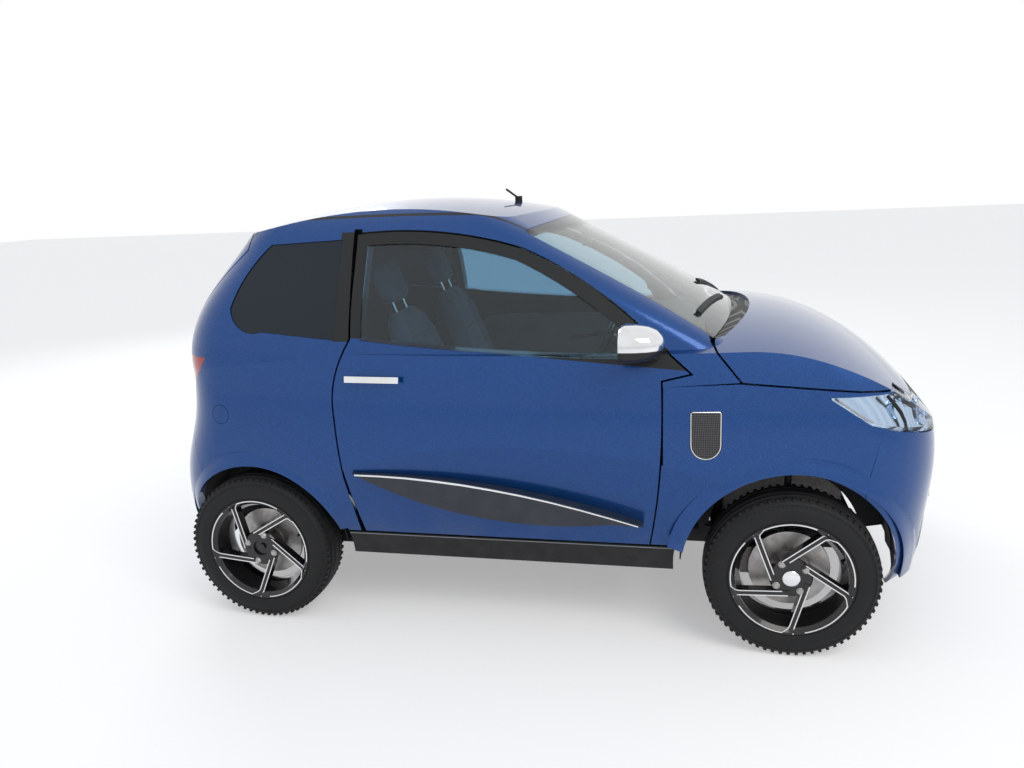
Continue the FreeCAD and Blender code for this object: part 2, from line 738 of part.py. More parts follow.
# Front suspension: wishbones from the frame, struts up to the towers, and the drive shafts
ball_low = on_kingpin(178)
rail_outer = size("rail_y") + size("rail_width") / 2
arm_plan = outline(
    (front_axle - 130, rail_outer),
    [((front_axle - 80, rail_outer),), ((front_axle + 80, rail_outer),), ((front_axle + 130, rail_outer),),
     ((front_axle + 12, ball_low.y - 12),), ((front_axle - 12, ball_low.y - 12),)],
    plan_point)
wishbone = upright(arm_plan, 0, 196, 214).cut(
    Part.makeCylinder(48, 40, Vector(front_axle, rail_outer + 95, 190), Vector(0, 0, 1)))
strut_foot = on_kingpin(372)
strut_top = on_kingpin(700)
strut_length = (strut_top - strut_foot).Length
strut = Part.makeCylinder(11, strut_length, strut_foot, axis_up)
spring = Part.makeCylinder(42, 135, strut_foot + axis_up * (strut_length - 135), axis_up)
tower = Part.makeCylinder(62, 8, strut_top, axis_up)
strut_set = strut.multiFuse([spring, tower])
tower_beam = slab(front_axle - 30, front_axle + 30, engine_half + seat_gap, strut_top.y - 40, 690, 706)
front_left = [wishbone, strut_set.fuse(tower_beam)]
feature("front_suspension", Part.makeCompound(front_left + [mirrored(piece) for piece in front_left]))
shaft_inner = Vector(front_axle, engine_half - 12, 316)
shaft_outer = Vector(front_axle, 524, tyre_radius)
shaft_way = (shaft_outer - shaft_inner).normalize()
drive_shaft = Part.makeCylinder(13, (shaft_outer - shaft_inner).Length, shaft_inner, shaft_way)
joint_boot = Part.makeCone(32, 20, 72, shaft_inner, shaft_way)
both_sides("drive_shafts", solid(drive_shaft.fuse(joint_boot).cut(engine.Shape)))
rack = Part.makeCylinder(24, 2 * 440, Vector(front_axle - 215, -440, 300), Vector(0, 1, 0))
rack_seat = [slab(front_axle - 235, front_axle - 195, sign * size("rail_y") - 25, sign * size("rail_y") + 25,
                  floor_low, 290) for sign in (1, -1)]
feature("steering_rack", rack.multiFuse(rack_seat).cut(engine.Shape))

# Rear suspension: trailing arms, hubs and spring struts
arm_y = half_track - 125
trailing = slab(rear_axle - 40, rear_axle + 372, arm_y - 22, arm_y + 22, 236, 290)
pivot = Part.makeCylinder(24, arm_y + 40 - rail_outer, Vector(rear_axle + 375, rail_outer, 240), Vector(0, 1, 0))
stub = Part.makeCylinder(38, half_track - disc_inset - seat_gap - arm_y, Vector(rear_axle, arm_y, tyre_radius), Vector(0, 1, 0))
rear_set = trailing.multiFuse([pivot, stub])
both_sides("rear_suspension", rear_set)
damper_foot = Vector(rear_axle - 90, rail_outer + 24, 240)
damper = Part.makeCylinder(20, 225, damper_foot, Vector(0, 0, 1))
damper_pin = Part.makeCylinder(10, 44, Vector(rear_axle - 90, rail_outer, 252), Vector(0, 1, 0))
both_sides("rear_dampers", damper.fuse(damper_pin))

# Exhaust: silencer between the rails with its tailpipe
silencer = Part.makeCylinder(58, 300, Vector(rear_axle - 270, 40, 320), Vector(1, 0, 0))
tailpipe = Part.makeCylinder(19, 110, Vector(rear_axle - 375, 40, 320), Vector(1, 0, 0))
hanger = slab(rear_axle - 260, rear_axle - 230, 30, 50, 370, luggage_height - floor_sheet)
feature("exhaust", silencer.multiFuse([tailpipe, hanger]).cut(solid(pan)))

# Outside pieces
plate_half = plate_length / 2
plate_front = slab(half_length - 40, half_length - 5, -plate_half, plate_half, 385, 385 + plate_height)
feature("front_plate", solid(plate_front.cut(outer)))
plate_rear = slab(56 - half_length, 120 - half_length, -plate_half, plate_half, 742, 742 + plate_height)
feature("rear_plate", solid(plate_rear.cut(outer)))
aerial_base = Vector(-95, 0, 1400)
aerial = Part.makeCylinder(14, 60, aerial_base, Vector(0, 0, 1)).fuse(
    Part.makeCylinder(4, 60, Vector(-95, 0, 1452), Vector(-0.8, 0, 0.6)))
feature("aerial", solid(aerial.cut(outer)))
cap_cylinder = Part.makeCylinder(cap_radius, 300, cap_place, Vector(0, 1, 0))
feature("fuel_cap", solid(outer.common(cap_cylinder).cut(under_skin)))
wiper_outer = Part.makeLoft([plan_wire(level, -14) for level in CABIN_LEVELS[:3]], True, False)
wiper_inner = Part.makeLoft([plan_wire(level, glass_depth - 0.6) for level in CABIN_LEVELS[:3]], True, False)
wipers = []
for y_from, y_to in ((-470, -30), (40, 480)):
    x_from, x_to = 575, 660
    strip = outline((x_from, y_from), [((x_to, y_to),), ((x_to + 16, y_to),), ((x_from + 16, y_from),)], plan_point)
    wipers.append(solid(upright(strip, 0, 962 + seat_gap, 1200).common(wiper_outer).cut(wiper_inner)))
feature("wipers", Part.makeCompound(wipers))

# Door furniture: mirror, handle and the moulding along the door's foot
mirror_body = slab(335, 480, 722, 898, 958, 1094)
mirror_body = mirror_body.makeFillet(46, [edge for edge in mirror_body.Edges if edge.BoundBox.XMax > 340])
mirror_arm = slab(390, 470, 660, 760, 956, 984)
mirror = mirror_body.fuse(mirror_arm).cut(outer)
left_and_right("mirror", solid(mirror))
handle_outer = Part.makeLoft([plan_wire(level, -30) for level in LOWER_LEVELS[4:]], True, False)
handle_inner = Part.makeLoft([plan_wire(level, -20) for level in LOWER_LEVELS[4:]], True, False)
handle_bar = handle_outer.common(slab(-553, -362, 600, 900, 898, 918)).cut(handle_inner)
handle_feet = [handle_outer.common(slab(foot, foot + 26, 600, 900, 898, 918)).cut(outer) for foot in (-540, -401)]
handle_solid = solid(handle_bar.multiFuse(handle_feet))
moulding_outline = outline(
    (-560, 580), [((0, 540), (416, 432)), ((330, 436), (300, 436)), ((-150, 450), (-560, 580))], side_point)
wide_lower = Part.makeLoft([plan_wire(level, -7) for level in LOWER_LEVELS[1:6]], True, False)
moulding = solid(wide_lower.common(side_prism(moulding_outline, 0, 1)).cut(outer))
left_and_right("door_trim", Part.makeCompound([handle_solid, moulding]))

# Wheels
tyre_half = size("tyre_width") / 2
rim_half = size("rim_depth") / 2


def tyre(label, axle, sign):
    """A tyre: a cylinder with rounded shoulders, bored to the rim's bead seat."""
    across = f"{sign}Dim.track / 2 - Dim.tyre_width / 2"
    body = bound_cylinder(label + "_body", "Dim.tyre_radius", "Dim.tyre_width", axle, across, "Dim.tyre_radius",
                          Vector(0, 1, 0))
    bore = bound_cylinder(label + "_bore", "Dim.bead_radius", "Dim.tyre_width", axle, across, "Dim.tyre_radius",
                          Vector(0, 1, 0))
    doc.recompute()
    rounded = doc.addObject("Part::Fillet", label + "_rounded")
    rounded.Base = body
    rounded.Edges = [(number, 32, 32) for number, edge in enumerate(body.Shape.Edges, start=1)
                     if isinstance(edge.Curve, Part.Circle)]
    keep(cut(label, rounded, bore), label)


def wheel_rim(label, axle_x, side):
    """An alloy rim with five raked spokes, its hub and the brake disc behind it."""
    centre = Vector(axle_x, side * half_track, tyre_radius)
    out = Vector(0, side, 0)
    back = centre - out * rim_half
    barrel = Part.makeCylinder(bead_radius - seat_gap, 2 * rim_half, back, out)
    lip = Part.makeCylinder(rim_radius, 8, centre + out * (tyre_half - 10), out)
    inner_lip = Part.makeCylinder(rim_radius, 8, centre - out * (tyre_half - 2), out)
    hollow = Part.makeCylinder(bead_radius - 9, 4 * rim_half, centre - out * (2 * rim_half), out)
    link = Part.makeCylinder(bead_radius - seat_gap, 2 * tyre_half - 4, centre - out * (tyre_half - 2), out)
    shell = barrel.multiFuse([link]).cut(hollow)
    face = centre + out * (rim_half - 26)
    hub = Part.makeCylinder(hub_radius, 26, face, out)
    pieces = [hub]
    for number in range(int(size("spoke_count"))):
        spoke = slab(30, bead_radius - 5, -22, 22, 0, 24)
        spoke.rotate(Vector(0, 0, 0), Vector(0, 0, 1), 360 / size("spoke_count") * number + 90)
        spoke.Placement = FreeCAD.Placement(face, FreeCAD.Rotation(Vector(0, 0, 1), out)).multiply(spoke.Placement)
        pieces.append(spoke)
    disc = Part.makeCylinder(disc_radius, size("disc_thickness"), centre - out * disc_inset, out)
    bell = Part.makeCylinder(70, rim_half - 20 + disc_inset, centre - out * disc_inset, out)
    return feature(label, solid(shell.multiFuse(pieces + [disc, bell])))


for end, axle_x, axle in (("front", front_axle, FRONT), ("rear", rear_axle, REAR)):
    for name, side in SIDES:
        tyre(f"tyre_{end}_{name}", axle, "" if side > 0 else "-")
        wheel_rim(f"rim_{end}_{name}", axle_x, side)

# Steering knuckles with the hub carrier, its upper leg and the brake caliper
carrier_inner = steer_axis_y - 34
carrier = Part.makeCylinder(44, half_track - disc_inset - seat_gap - carrier_inner,
                            Vector(front_axle, carrier_inner, tyre_radius), Vector(0, 1, 0))
leg_foot = on_kingpin(218)
leg = Part.makeCylinder(21, (on_kingpin(366) - leg_foot).Length, leg_foot, axis_up)
caliper = slab(front_axle - 148, front_axle - 92, 590, 608, tyre_radius - 40, tyre_radius + 50)
bracket = slab(front_axle - 148, front_axle - 20, 578, 594, tyre_radius - 18, tyre_radius + 18)
steer_arm = slab(front_axle - 130, front_axle, 556, 574, 262, 280)
left_and_right("knuckle", solid(carrier.multiFuse([leg, caliper, bracket, steer_arm])))

doc.recompute()
os.makedirs("parts", exist_ok=True)
failed = []
for item in doc.Objects:
    if "Invalid" in item.State or "Error" in item.State:
        failed.append(item.Label)
for item in nodes:
    if item.Shape.isNull() or not item.Shape.isValid():
        failed.append(item.Label)
if failed:
    raise RuntimeError("not sound: " + ", ".join(failed))
for item in nodes:
    item.Shape.exportStep(f"parts/{item.Label}.step")
    box = item.Shape.BoundBox
    print(item.Label, len(item.Shape.Solids), round(item.Shape.Volume / 1e6, 3),
          [round(value) for value in (box.XMin, box.XMax, box.YMin, box.YMax, box.ZMin, box.ZMax)])
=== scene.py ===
# %% [markdown]
# A two-seat microcar is dressed here. Its solids come packed from the CAD step and stay where they are.
# The whole car could be remodelled, but then its looks and its solids would drift apart. So each piece
# made below is placed in the solids' own frame and rides one of their bodies.

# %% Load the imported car
import json
import math

import bmesh
import bpy
import numpy as np
from mathutils import Matrix, Vector
from mathutils.bvhtree import BVHTree


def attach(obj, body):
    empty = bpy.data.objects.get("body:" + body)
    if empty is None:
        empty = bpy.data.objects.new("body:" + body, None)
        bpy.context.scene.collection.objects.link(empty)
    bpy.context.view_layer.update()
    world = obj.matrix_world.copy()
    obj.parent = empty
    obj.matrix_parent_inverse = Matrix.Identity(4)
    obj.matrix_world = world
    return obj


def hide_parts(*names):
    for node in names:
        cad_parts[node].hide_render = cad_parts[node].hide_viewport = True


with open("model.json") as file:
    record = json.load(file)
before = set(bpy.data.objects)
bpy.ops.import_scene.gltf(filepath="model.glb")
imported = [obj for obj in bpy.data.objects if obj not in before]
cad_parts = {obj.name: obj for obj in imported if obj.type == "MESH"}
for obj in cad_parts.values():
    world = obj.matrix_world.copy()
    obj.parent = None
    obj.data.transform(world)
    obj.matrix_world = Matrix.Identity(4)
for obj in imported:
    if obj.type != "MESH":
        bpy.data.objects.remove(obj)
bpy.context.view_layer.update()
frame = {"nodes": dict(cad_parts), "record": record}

nodes = frame["nodes"]

# %% [markdown]
# A photograph is matched best by standing a camera where the photographer stood, here at head height off
# the car's right front quarter. The place was worked out from the wheels and the panel corners. Shifting
# the lens would also frame the car, but it would bend the view, so the camera is only turned and rolled.

# %% Camera
CAMERA_PLACE = Vector((0.55627, -3.13214, 1.50363))
YAW, PITCH, ROLL = -0.2235603, 0.2421267, -0.0465689
LENS = 28.34


def camera_axes():
    """The camera's own right, up and back directions."""
    ahead = Vector((math.sin(YAW) * math.cos(PITCH), math.cos(YAW) * math.cos(PITCH), -math.sin(PITCH)))
    right = Vector((math.cos(YAW), -math.sin(YAW), 0))
    up = right.cross(ahead)
    tilted_right = right * math.cos(ROLL) + up * math.sin(ROLL)
    tilted_up = -right * math.sin(ROLL) + up * math.cos(ROLL)
    return tilted_right, tilted_up, -ahead


camera_data = bpy.data.cameras.new("camera")
camera_data.lens = LENS
camera_data.sensor_width = 36
camera = bpy.data.objects.new("camera", camera_data)
bpy.context.scene.collection.objects.link(camera)
camera.matrix_world = Matrix.Translation(CAMERA_PLACE) @ Matrix(camera_axes()).transposed().to_4x4()
bpy.context.scene.camera = camera
print("camera stands", round(CAMERA_PLACE.z, 2), "m over the ground")

# %% [markdown]
# Materials and growing trees are both graphs of nodes. They could be wired by hand, node by node, but
# maths reads best as sums. So a small class wraps a socket, and each operator adds one Math node. Any
# other node comes from one method, which takes its type, its settings and its sockets.

# %% A wire that can be added and multiplied
class Wire:
    """A socket of a node tree, on which sums are written as sums."""

    def __init__(self, owner, socket):
        self.owner = owner
        self.socket = socket

    def math(self, operation, *others):
        return self.owner.add("ShaderNodeMath", {"operation": operation}, dict(enumerate((self, *others))))

    def __add__(self, other):
        return self.math("ADD", other)

    def __radd__(self, other):
        return self.math("ADD", other)

    def __mul__(self, other):
        return self.math("MULTIPLY", other)

    def __rmul__(self, other):
        return self.math("MULTIPLY", other)

    def __sub__(self, other):
        return self.math("SUBTRACT", other)

    def __rsub__(self, other):
        return self.owner.add("ShaderNodeMath", {"operation": "SUBTRACT"}, {0: other, 1: self})

    def smooth(self, low, high, start=0.0, end=1.0):
        """Rises softly from start to end while the wire goes from low to high."""
        ends = {"From Min": low, "From Max": high, "To Min": start, "To Max": end}
        return self.owner.add("ShaderNodeMapRange", {"interpolation_type": "SMOOTHSTEP"},
                              {"Value": self, **ends}, "Result")


class Tree:
    """Any node tree. Its one method adds a node, sets it up and feeds it."""

    def __init__(self, tree):
        self.tree = tree

    def feed(self, socket, value):
        """Links a wire into a socket, or sets a plain value on it."""
        if isinstance(value, Wire):
            self.tree.links.new(value.socket, socket)
        else:
            socket.default_value = (*value, 1) if socket.type == "RGBA" else value

    def add(self, kind, settings, sockets, output=0):
        node = self.tree.nodes.new(kind)
        for key, value in settings.items():
            setattr(node, key, value)
        for key, value in sockets.items():
            self.feed(node.inputs[key], value)
        return Wire(self, node.outputs[output])


class Finish(Tree):
    """A material with one Principled shader, whose constant values are set on its own sockets."""

    def __init__(self, name, **values):
        self.material = bpy.data.materials.new(name)
        self.material.use_nodes = True
        super().__init__(self.material.node_tree)
        self.shader = self.tree.nodes["Principled BSDF"]
        for key, value in values.items():
            self.set(key.replace("_", " ").title().replace("Ior", "IOR"), value)

    def set(self, socket, value):
        self.feed(self.shader.inputs[socket], value)

    def place(self):
        return self.add("ShaderNodeTexCoord", {}, {}, "Object")

    def axis(self, name):
        return self.add("ShaderNodeSeparateXYZ", {}, {"Vector": self.place()}, name)

    def facing(self, name):
        """How far the surface faces along one axis of its own piece."""
        normal = self.add("ShaderNodeTexCoord", {}, {}, "Normal")
        return self.add("ShaderNodeSeparateXYZ", {}, {"Vector": normal}, name)

    def noise(self, scale, detail):
        return self.add("ShaderNodeTexNoise", {}, {"Vector": self.place(), "Scale": scale, "Detail": detail})

    def cells(self, scale, output="Distance"):
        return self.add("ShaderNodeTexVoronoi", {}, {"Vector": self.place(), "Scale": scale}, output)

    def mix(self, factor, first, second):
        """Blends two colours. The Mix node keeps its colour sockets at places 6 and 7."""
        return self.add("ShaderNodeMix", {"data_type": "RGBA"}, {0: factor, 6: first, 7: second}, 2)

    def bump(self, height, strength, distance):
        self.set("Normal", self.add("ShaderNodeBump", {},
                                    {"Strength": strength, "Distance": distance, "Height": height}))


print("wires, trees and finishes defined")

# %% [markdown]
# The real paint is royal blue with metal flakes under a clear coat. A plain blue would look like plastic,
# so tiny cells of random brightness stand for the flakes, the coat is a layer of its own, and a slow wave
# in the bump is the orange peel that every sprayed panel has.

# %% Body paint
PAINT_BLUE = (0.003, 0.057, 0.236)
PAINT_DEEP = (0.002, 0.040, 0.180)
PAINT_FLAKE = (0.020, 0.160, 0.560)
# near black for the frames and trim, and also painted shade in the roof groove and the fog recesses
BLACK_AND_PAINTED_SHADE = (0.006, 0.007, 0.008)


def paint_layers(finish):
    """Flake colour, and the bump of orange peel."""
    flakes = finish.cells(1500, "Color")
    sparkle = finish.add("ShaderNodeSeparateColor", {}, {"Color": flakes}, "Red")
    base = finish.mix(sparkle.smooth(0.0, 0.8), PAINT_DEEP, PAINT_BLUE)
    colour = finish.mix(sparkle.smooth(0.86, 1.0), base, PAINT_FLAKE)
    peel = finish.noise(160, 2) + finish.noise(900, 1) * 0.15
    return colour, peel


def band(wire, low, high, blur=0.0012):
    """One between two values of a wire and nothing outside them."""
    return wire.smooth(low - blur, low + blur) * wire.smooth(high + blur, high - blur)


def make_paint(name, black_where=None):
    """Blue paint with road dust low down, turned satin black where a mask says so: black trim, and painted
    shade.
    """
    finish = Finish(name, coat_roughness=0.03, coat_ior=1.32, specular_ior_level=0.3)
    colour, peel = paint_layers(finish)
    dust = finish.axis("Z").smooth(0.5, 0.15) * finish.noise(7, 5).smooth(0.35, 0.75)
    painted = finish.mix(dust * 0.22, colour, (0.30, 0.27, 0.23))
    black = black_where(finish) if black_where else 0.0
    finish.set("Base Color", finish.mix(black, painted, BLACK_AND_PAINTED_SHADE))
    finish.set("Metallic", 0.5 - black * 0.5)
    finish.set("Roughness", 0.30 + dust * 0.35 + black * 0.12)
    finish.set("Coat Weight", 1 - black * 0.6)
    finish.bump(peel, 0.05, 0.0006)
    return finish


paint = make_paint("body_paint")
print("paint made")

# %% [markdown]
# The door frames over the belt line and the pillar behind them are black. The roof's drip groove and the
# fog lamp recesses of the bumper are turned black too, as painted shade in those hollows. Cutting these
# parts out of the panels would leave steps, so a mask in the car's own metres turns the paint black there,
# and it feeds only what the export can bake.

# %% Where the paint gives way to black and to painted shade
BELT_FRONT, BELT_REAR = (0.52, 0.935), (-0.55, 1.035)
PILLAR_REAR, PILLAR_FRONT, PILLAR_FOOT, PILLAR_TOP = -0.606, -0.50, 1.022, 1.372
GROOVE_OUTER, GROOVE_WIDTH = 0.486, 0.0095
FOG_CENTRE, FOG_HALF_WIDTH, FOG_HALF_HEIGHT = (0.480, 0.355), 0.034, 0.030
AXLE_FRONT, AXLE_REAR, AXLE_HEIGHT = 0.871, -0.953, 0.271


def over_belt(finish):
    """The frame round a door's glass, over the slanting belt line."""
    slope = (BELT_REAR[1] - BELT_FRONT[1]) / (BELT_REAR[0] - BELT_FRONT[0])
    belt = (finish.axis("X") - BELT_FRONT[0]) * slope + BELT_FRONT[1]
    return (finish.axis("Z") - belt).smooth(0.0, 0.0015)


def cabin_side(finish):
    """The faces that look into the cabin."""
    return (finish.facing("Y") * finish.axis("Y").math("SIGN")).smooth(-0.2, -0.5)


def door_black(finish):
    """A door's glass frame, and its whole inner face."""
    return over_belt(finish).math("MAXIMUM", cabin_side(finish))


def pillar_black(finish):
    """Black between the door and the quarter window, and inside."""
    over_foot = (finish.axis("Z") - PILLAR_FOOT).smooth(0, 0.0015)
    under_top = (PILLAR_TOP - finish.axis("Z")).smooth(0, 0.0015)
    pillar = over_foot * under_top * band(finish.axis("X"), PILLAR_REAR, PILLAR_FRONT)
    return pillar.math("MAXIMUM", cabin_side(finish))


def groove_shade_and_lining(finish):
    """Painted shade in the drip groove, and the lining under the roof."""
    aside = finish.axis("Y").math("ABSOLUTE")
    # painted shade: the drip groove is turned black
    groove = band(aside, GROOVE_OUTER - GROOVE_WIDTH, GROOVE_OUTER + 0.02, 0.0006)
    return groove.math("MAXIMUM", finish.facing("Z").smooth(-0.2, -0.5))


def fog_recess_shade(finish):
    """Painted shade in the oval recess low in each corner of the bumper."""
    aside = finish.axis("Y").math("ABSOLUTE") - FOG_CENTRE[0]
    along = (finish.axis("Z") - FOG_CENTRE[1]).math("ABSOLUTE")
    beyond = (along - FOG_HALF_HEIGHT).math("MAXIMUM", 0.0)
    away = (aside * aside + beyond * beyond).math("SQRT")
    return (FOG_HALF_WIDTH - away).smooth(-0.0008, 0.0008) * (finish.axis("X") - 1.1).smooth(0, 0.01)


door_finish = make_paint("door_paint", door_black)
side_finish = make_paint("side_paint", pillar_black)
# the roof's paint has painted shade in its drip groove
roof_finish = make_paint("roof_paint", groove_shade_and_lining)
# the bumper's paint has painted shade in its fog recesses
bumper_finish = make_paint("bumper_paint", fog_recess_shade)
print("masked paints made")

# %% [markdown]
# Sill, grille, cowl and cabin mouldings are plastic. What tells one plastic from another is its grain, so
# one finish presses small cells into the surface, and the gloss black of the rims has only a few smears.

# %% Plastics
def make_grained(name, colour, roughness=0.55, grain=700, depth=0.35):
    finish = Finish(name, specular_ior_level=0.3)
    cells = finish.cells(grain)
    worn = finish.noise(14, 4).smooth(0.3, 0.7)
    pale = tuple(min(1, value * 1.35 + 0.004) for value in colour)
    finish.set("Base Color", finish.mix(worn * 0.5, colour, pale))
    finish.set("Roughness", roughness + worn * 0.12)
    finish.bump(cells + finish.noise(grain * 2, 1) * 0.3, depth, 0.0004)
    return finish


def make_gloss(name, colour):
    finish = Finish(name, coat_weight=0.8, coat_roughness=0.04, coat_ior=1.35, specular_ior_level=0.3)
    smear = finish.noise(9, 5).smooth(0.35, 0.75)
    finish.set("Base Color", finish.mix(smear * 0.3, colour, tuple(value * 1.6 + 0.004 for value in colour)))
    finish.set("Roughness", 0.14 + smear * 0.14)
    finish.bump(finish.noise(260, 2), 0.03, 0.0004)
    return finish


black_plastic = make_grained("black_plastic", (0.012, 0.013, 0.015))
gloss_black = make_gloss("gloss_black", (0.010, 0.010, 0.011))
trim = make_grained("cabin_trim", (0.10, 0.105, 0.115), 0.6, 900)
plate_white = make_gloss("plate_white", (0.80, 0.80, 0.78))
print("plastics made")

# %% [markdown]
# Metals differ in colour, in polish and in the marks that work has left: bright chrome with faint wiping
# marks, machined alloy with fine ones, and the cast and rolled steel underneath. One maker with different
# numbers gives them all. The frame is painted, so it is a plastic finish with little grain.

# %% Metals
def make_metal(name, colour, roughness, smudge, grain):
    finish = Finish(name, metallic=1.0)
    marks = finish.noise(grain, 5).smooth(0.3, 0.75)
    finish.set("Base Color", finish.mix(marks * 0.4, colour, tuple(value * 0.78 for value in colour)))
    finish.set("Roughness", roughness + marks * smudge)
    finish.bump(finish.noise(grain * 9, 2), 0.05, 0.0003)
    return finish


chrome = make_metal("chrome", (0.80, 0.81, 0.83), 0.05, 0.06, 30)
machined = make_metal("machined_alloy", (0.78, 0.78, 0.79), 0.22, 0.1, 240)
steel = make_metal("rolled_steel", (0.42, 0.41, 0.40), 0.35, 0.2, 40)
cast = make_metal("cast_metal", (0.30, 0.29, 0.28), 0.55, 0.2, 120)
frame_paint = make_grained("chassis_paint", (0.020, 0.020, 0.021), 0.45, 300, 0.15)
print("metals made")

# %% [markdown]
# Car glass is clear but tinted, and it looks bluish against the sky. The rear panes are almost black. A
# faint film varies its polish, because wholly clean glass looks like a hole.

# %% Glass
def make_glass(name, colour, transmission=1.0, roughness=0.0):
    finish = Finish(name, transmission_weight=transmission, ior=1.45, specular_ior_level=0.35)
    film = finish.noise(6, 4).smooth(0.45, 0.8)
    finish.set("Base Color", finish.mix(film * 0.15, colour, tuple(value * 0.9 for value in colour)))
    finish.set("Roughness", roughness + film * 0.02)
    return finish


clear_glass = make_glass("clear_glass", (0.34, 0.52, 0.64))
dark_glass = make_glass("dark_glass", (0.007, 0.020, 0.036), 0.35)
lamp_glass = make_glass("lamp_glass", (0.93, 0.95, 0.97))
lamp_red = make_glass("lamp_red", (0.62, 0.010, 0.012), 0.35, 0.06)
print("glass made")

# %% [markdown]
# Rubber is dark grey, a little browner where it has rubbed the road, and never glossy. Seat cloth and
# carpet are woven, and two crossed waves give the weave without any picture.

# %% Rubber and cloth
def make_rubber(name):
    finish = Finish(name, specular_ior_level=0.3)
    dust = finish.noise(22, 5).smooth(0.35, 0.8)
    finish.set("Base Color", finish.mix(dust * 0.5, (0.009, 0.010, 0.011), (0.034, 0.032, 0.030)))
    finish.set("Roughness", 0.62 + dust * 0.2)
    finish.bump(finish.noise(700, 3), 0.25, 0.0004)
    return finish


def make_cloth(name, colour, thread=900):
    finish = Finish(name, sheen_weight=0.35, sheen_roughness=0.5)
    warp = (finish.axis("Y") * thread * 2).math("SINE")
    weft = (finish.axis("Z") * thread * 2 + finish.axis("X") * thread * 2).math("SINE")
    weave = warp * weft
    shade = finish.noise(12, 4).smooth(0.3, 0.7) * 0.4 + weave.smooth(-1, 1) * 0.3
    finish.set("Base Color", finish.mix(shade, tuple(value * 0.8 for value in colour), colour))
    finish.set("Roughness", 0.82 + weave * 0.05)
    finish.bump(weave, 0.3, 0.0006)
    return finish


rubber = make_rubber("tyre_rubber")
seat_cloth = make_cloth("seat_cloth", (0.13, 0.19, 0.26))
carpet = make_cloth("floor_carpet", (0.030, 0.030, 0.034), 400)
print("rubber and cloth made")

# %% [markdown]
# Some mouldings are one part in two finishes: a mirror has a chrome cap over a black foot, the handle and
# the lower door moulding are one node, and a tail lamp has a clear corner. A mask tells the two apart.

# %% Parts in two finishes
def make_two(name, first, second, where, metals, roughness, coat=0.0):
    """The first look where the mask is nought and the second where it is one."""
    finish = Finish(name, coat_weight=coat, coat_roughness=0.05, coat_ior=1.35, specular_ior_level=0.3)
    share = where(finish)
    worn = finish.noise(18, 4).smooth(0.3, 0.75)
    colour = finish.mix(share, first, second)
    finish.set("Base Color", finish.mix(worn * 0.15, colour, (0.10, 0.10, 0.10)))
    finish.set("Metallic", share * (metals[1] - metals[0]) + metals[0])
    finish.set("Roughness", share * (roughness[1] - roughness[0]) + roughness[0] + worn * 0.06)
    finish.bump(finish.noise(420, 2), 0.06, 0.0003)
    return finish


CHROME_GREY, MOULDING_GREY, TRIM_BLACK = (0.80, 0.81, 0.83), (0.020, 0.026, 0.040), (0.010, 0.010, 0.011)
SILL_BLACK, SILL_PALE = (0.012, 0.012, 0.013), (0.30, 0.32, 0.34)
LAMP_RED, LAMP_CLEAR = (0.50, 0.008, 0.010), (0.75, 0.72, 0.72)
MIRROR_SEAM, HANDLE_FOOT = 1.028, 0.70
SILL_LINE, SILL_LINE_WIDTH = 0.331, 0.003


def mirror_cap(finish):
    """The upper half of a mirror."""
    return (finish.axis("Z") - MIRROR_SEAM).smooth(-0.001, 0.001)


def over_moulding(finish):
    """The handle, which lies well over the lower moulding."""
    return (finish.axis("Z") - HANDLE_FOOT).smooth(0, 0.001)


def sill_line(finish):
    """The thin light line along a sill."""
    return band(finish.axis("Z"), SILL_LINE, SILL_LINE + SILL_LINE_WIDTH, 0.0008)


def lamp_corner(finish):
    """The clear corner at the lower rear end of a tail lamp."""
    return (finish.axis("Z") * 1.6 - finish.axis("X") * 0.5).smooth(1.985, 1.970)


mirror_finish = make_two("mirror_cap", TRIM_BLACK, CHROME_GREY, mirror_cap, (0, 1), (0.35, 0.05))
trim_finish = make_two("door_moulding", MOULDING_GREY, CHROME_GREY, over_moulding, (0, 1), (0.30, 0.07), 0.5)
sill_finish = make_two("sill_plastic", SILL_BLACK, SILL_PALE, sill_line, (0, 0), (0.5, 0.3))
tail_finish = make_two("tail_lamp", LAMP_RED, LAMP_CLEAR, lamp_corner, (0, 0), (0.12, 0.10), 1.0)
print("two-part finishes made")

# %% [markdown]
# Lamp reflectors, the windscreen and the nets of the vents each need a pattern of their own. Flutes, a
# printed edge and a net could be modelled, but at a few tenths of a millimetre a pattern is enough. The
# flutes' light and dark stripes are painted highlight and shade, and the net's dark holes are painted shade.

# %% Fluted, printed and netted finishes
SCREEN_BAND, SCREEN_EDGE, SCREEN_SLANT = 1.335, 0.556, -0.13


def make_reflector(name):
    """Bluish silver with fine upright flutes, as a lamp's bowls and housing are, striped with painted
    highlight and shade.
    """
    finish = Finish(name, metallic=1.0)
    flutes = (finish.axis("Y") * 700).math("SINE") * 0.5 + 0.5
    # painted highlight and shade: the colour swings lighter and darker across each flute
    finish.set("Base Color", finish.mix(flutes * 0.3, (0.50, 0.62, 0.78), (0.24, 0.36, 0.52)))
    finish.set("Roughness", 0.10 + flutes * 0.12)
    finish.bump(flutes, 0.12, 0.0006)
    return finish


def make_screen(name):
    """Windscreen glass with the printed black edge and the grey shade along its top."""
    finish = Finish(name, transmission_weight=1.0, ior=1.45)
    shade = (finish.axis("Z") - SCREEN_BAND).smooth(0, 0.02)
    side = finish.axis("Y").math("ABSOLUTE") + (finish.axis("X") - 0.35) * SCREEN_SLANT
    printed = side.smooth(SCREEN_EDGE, SCREEN_EDGE + 0.004)
    tinted = finish.mix(shade * 0.8, (0.78, 0.85, 0.84), (0.05, 0.06, 0.07))
    finish.set("Base Color", finish.mix(printed, tinted, (0.004, 0.004, 0.005)))
    finish.set("Roughness", finish.noise(6, 4).smooth(0.45, 0.8) * 0.02 + printed * 0.2)
    return finish


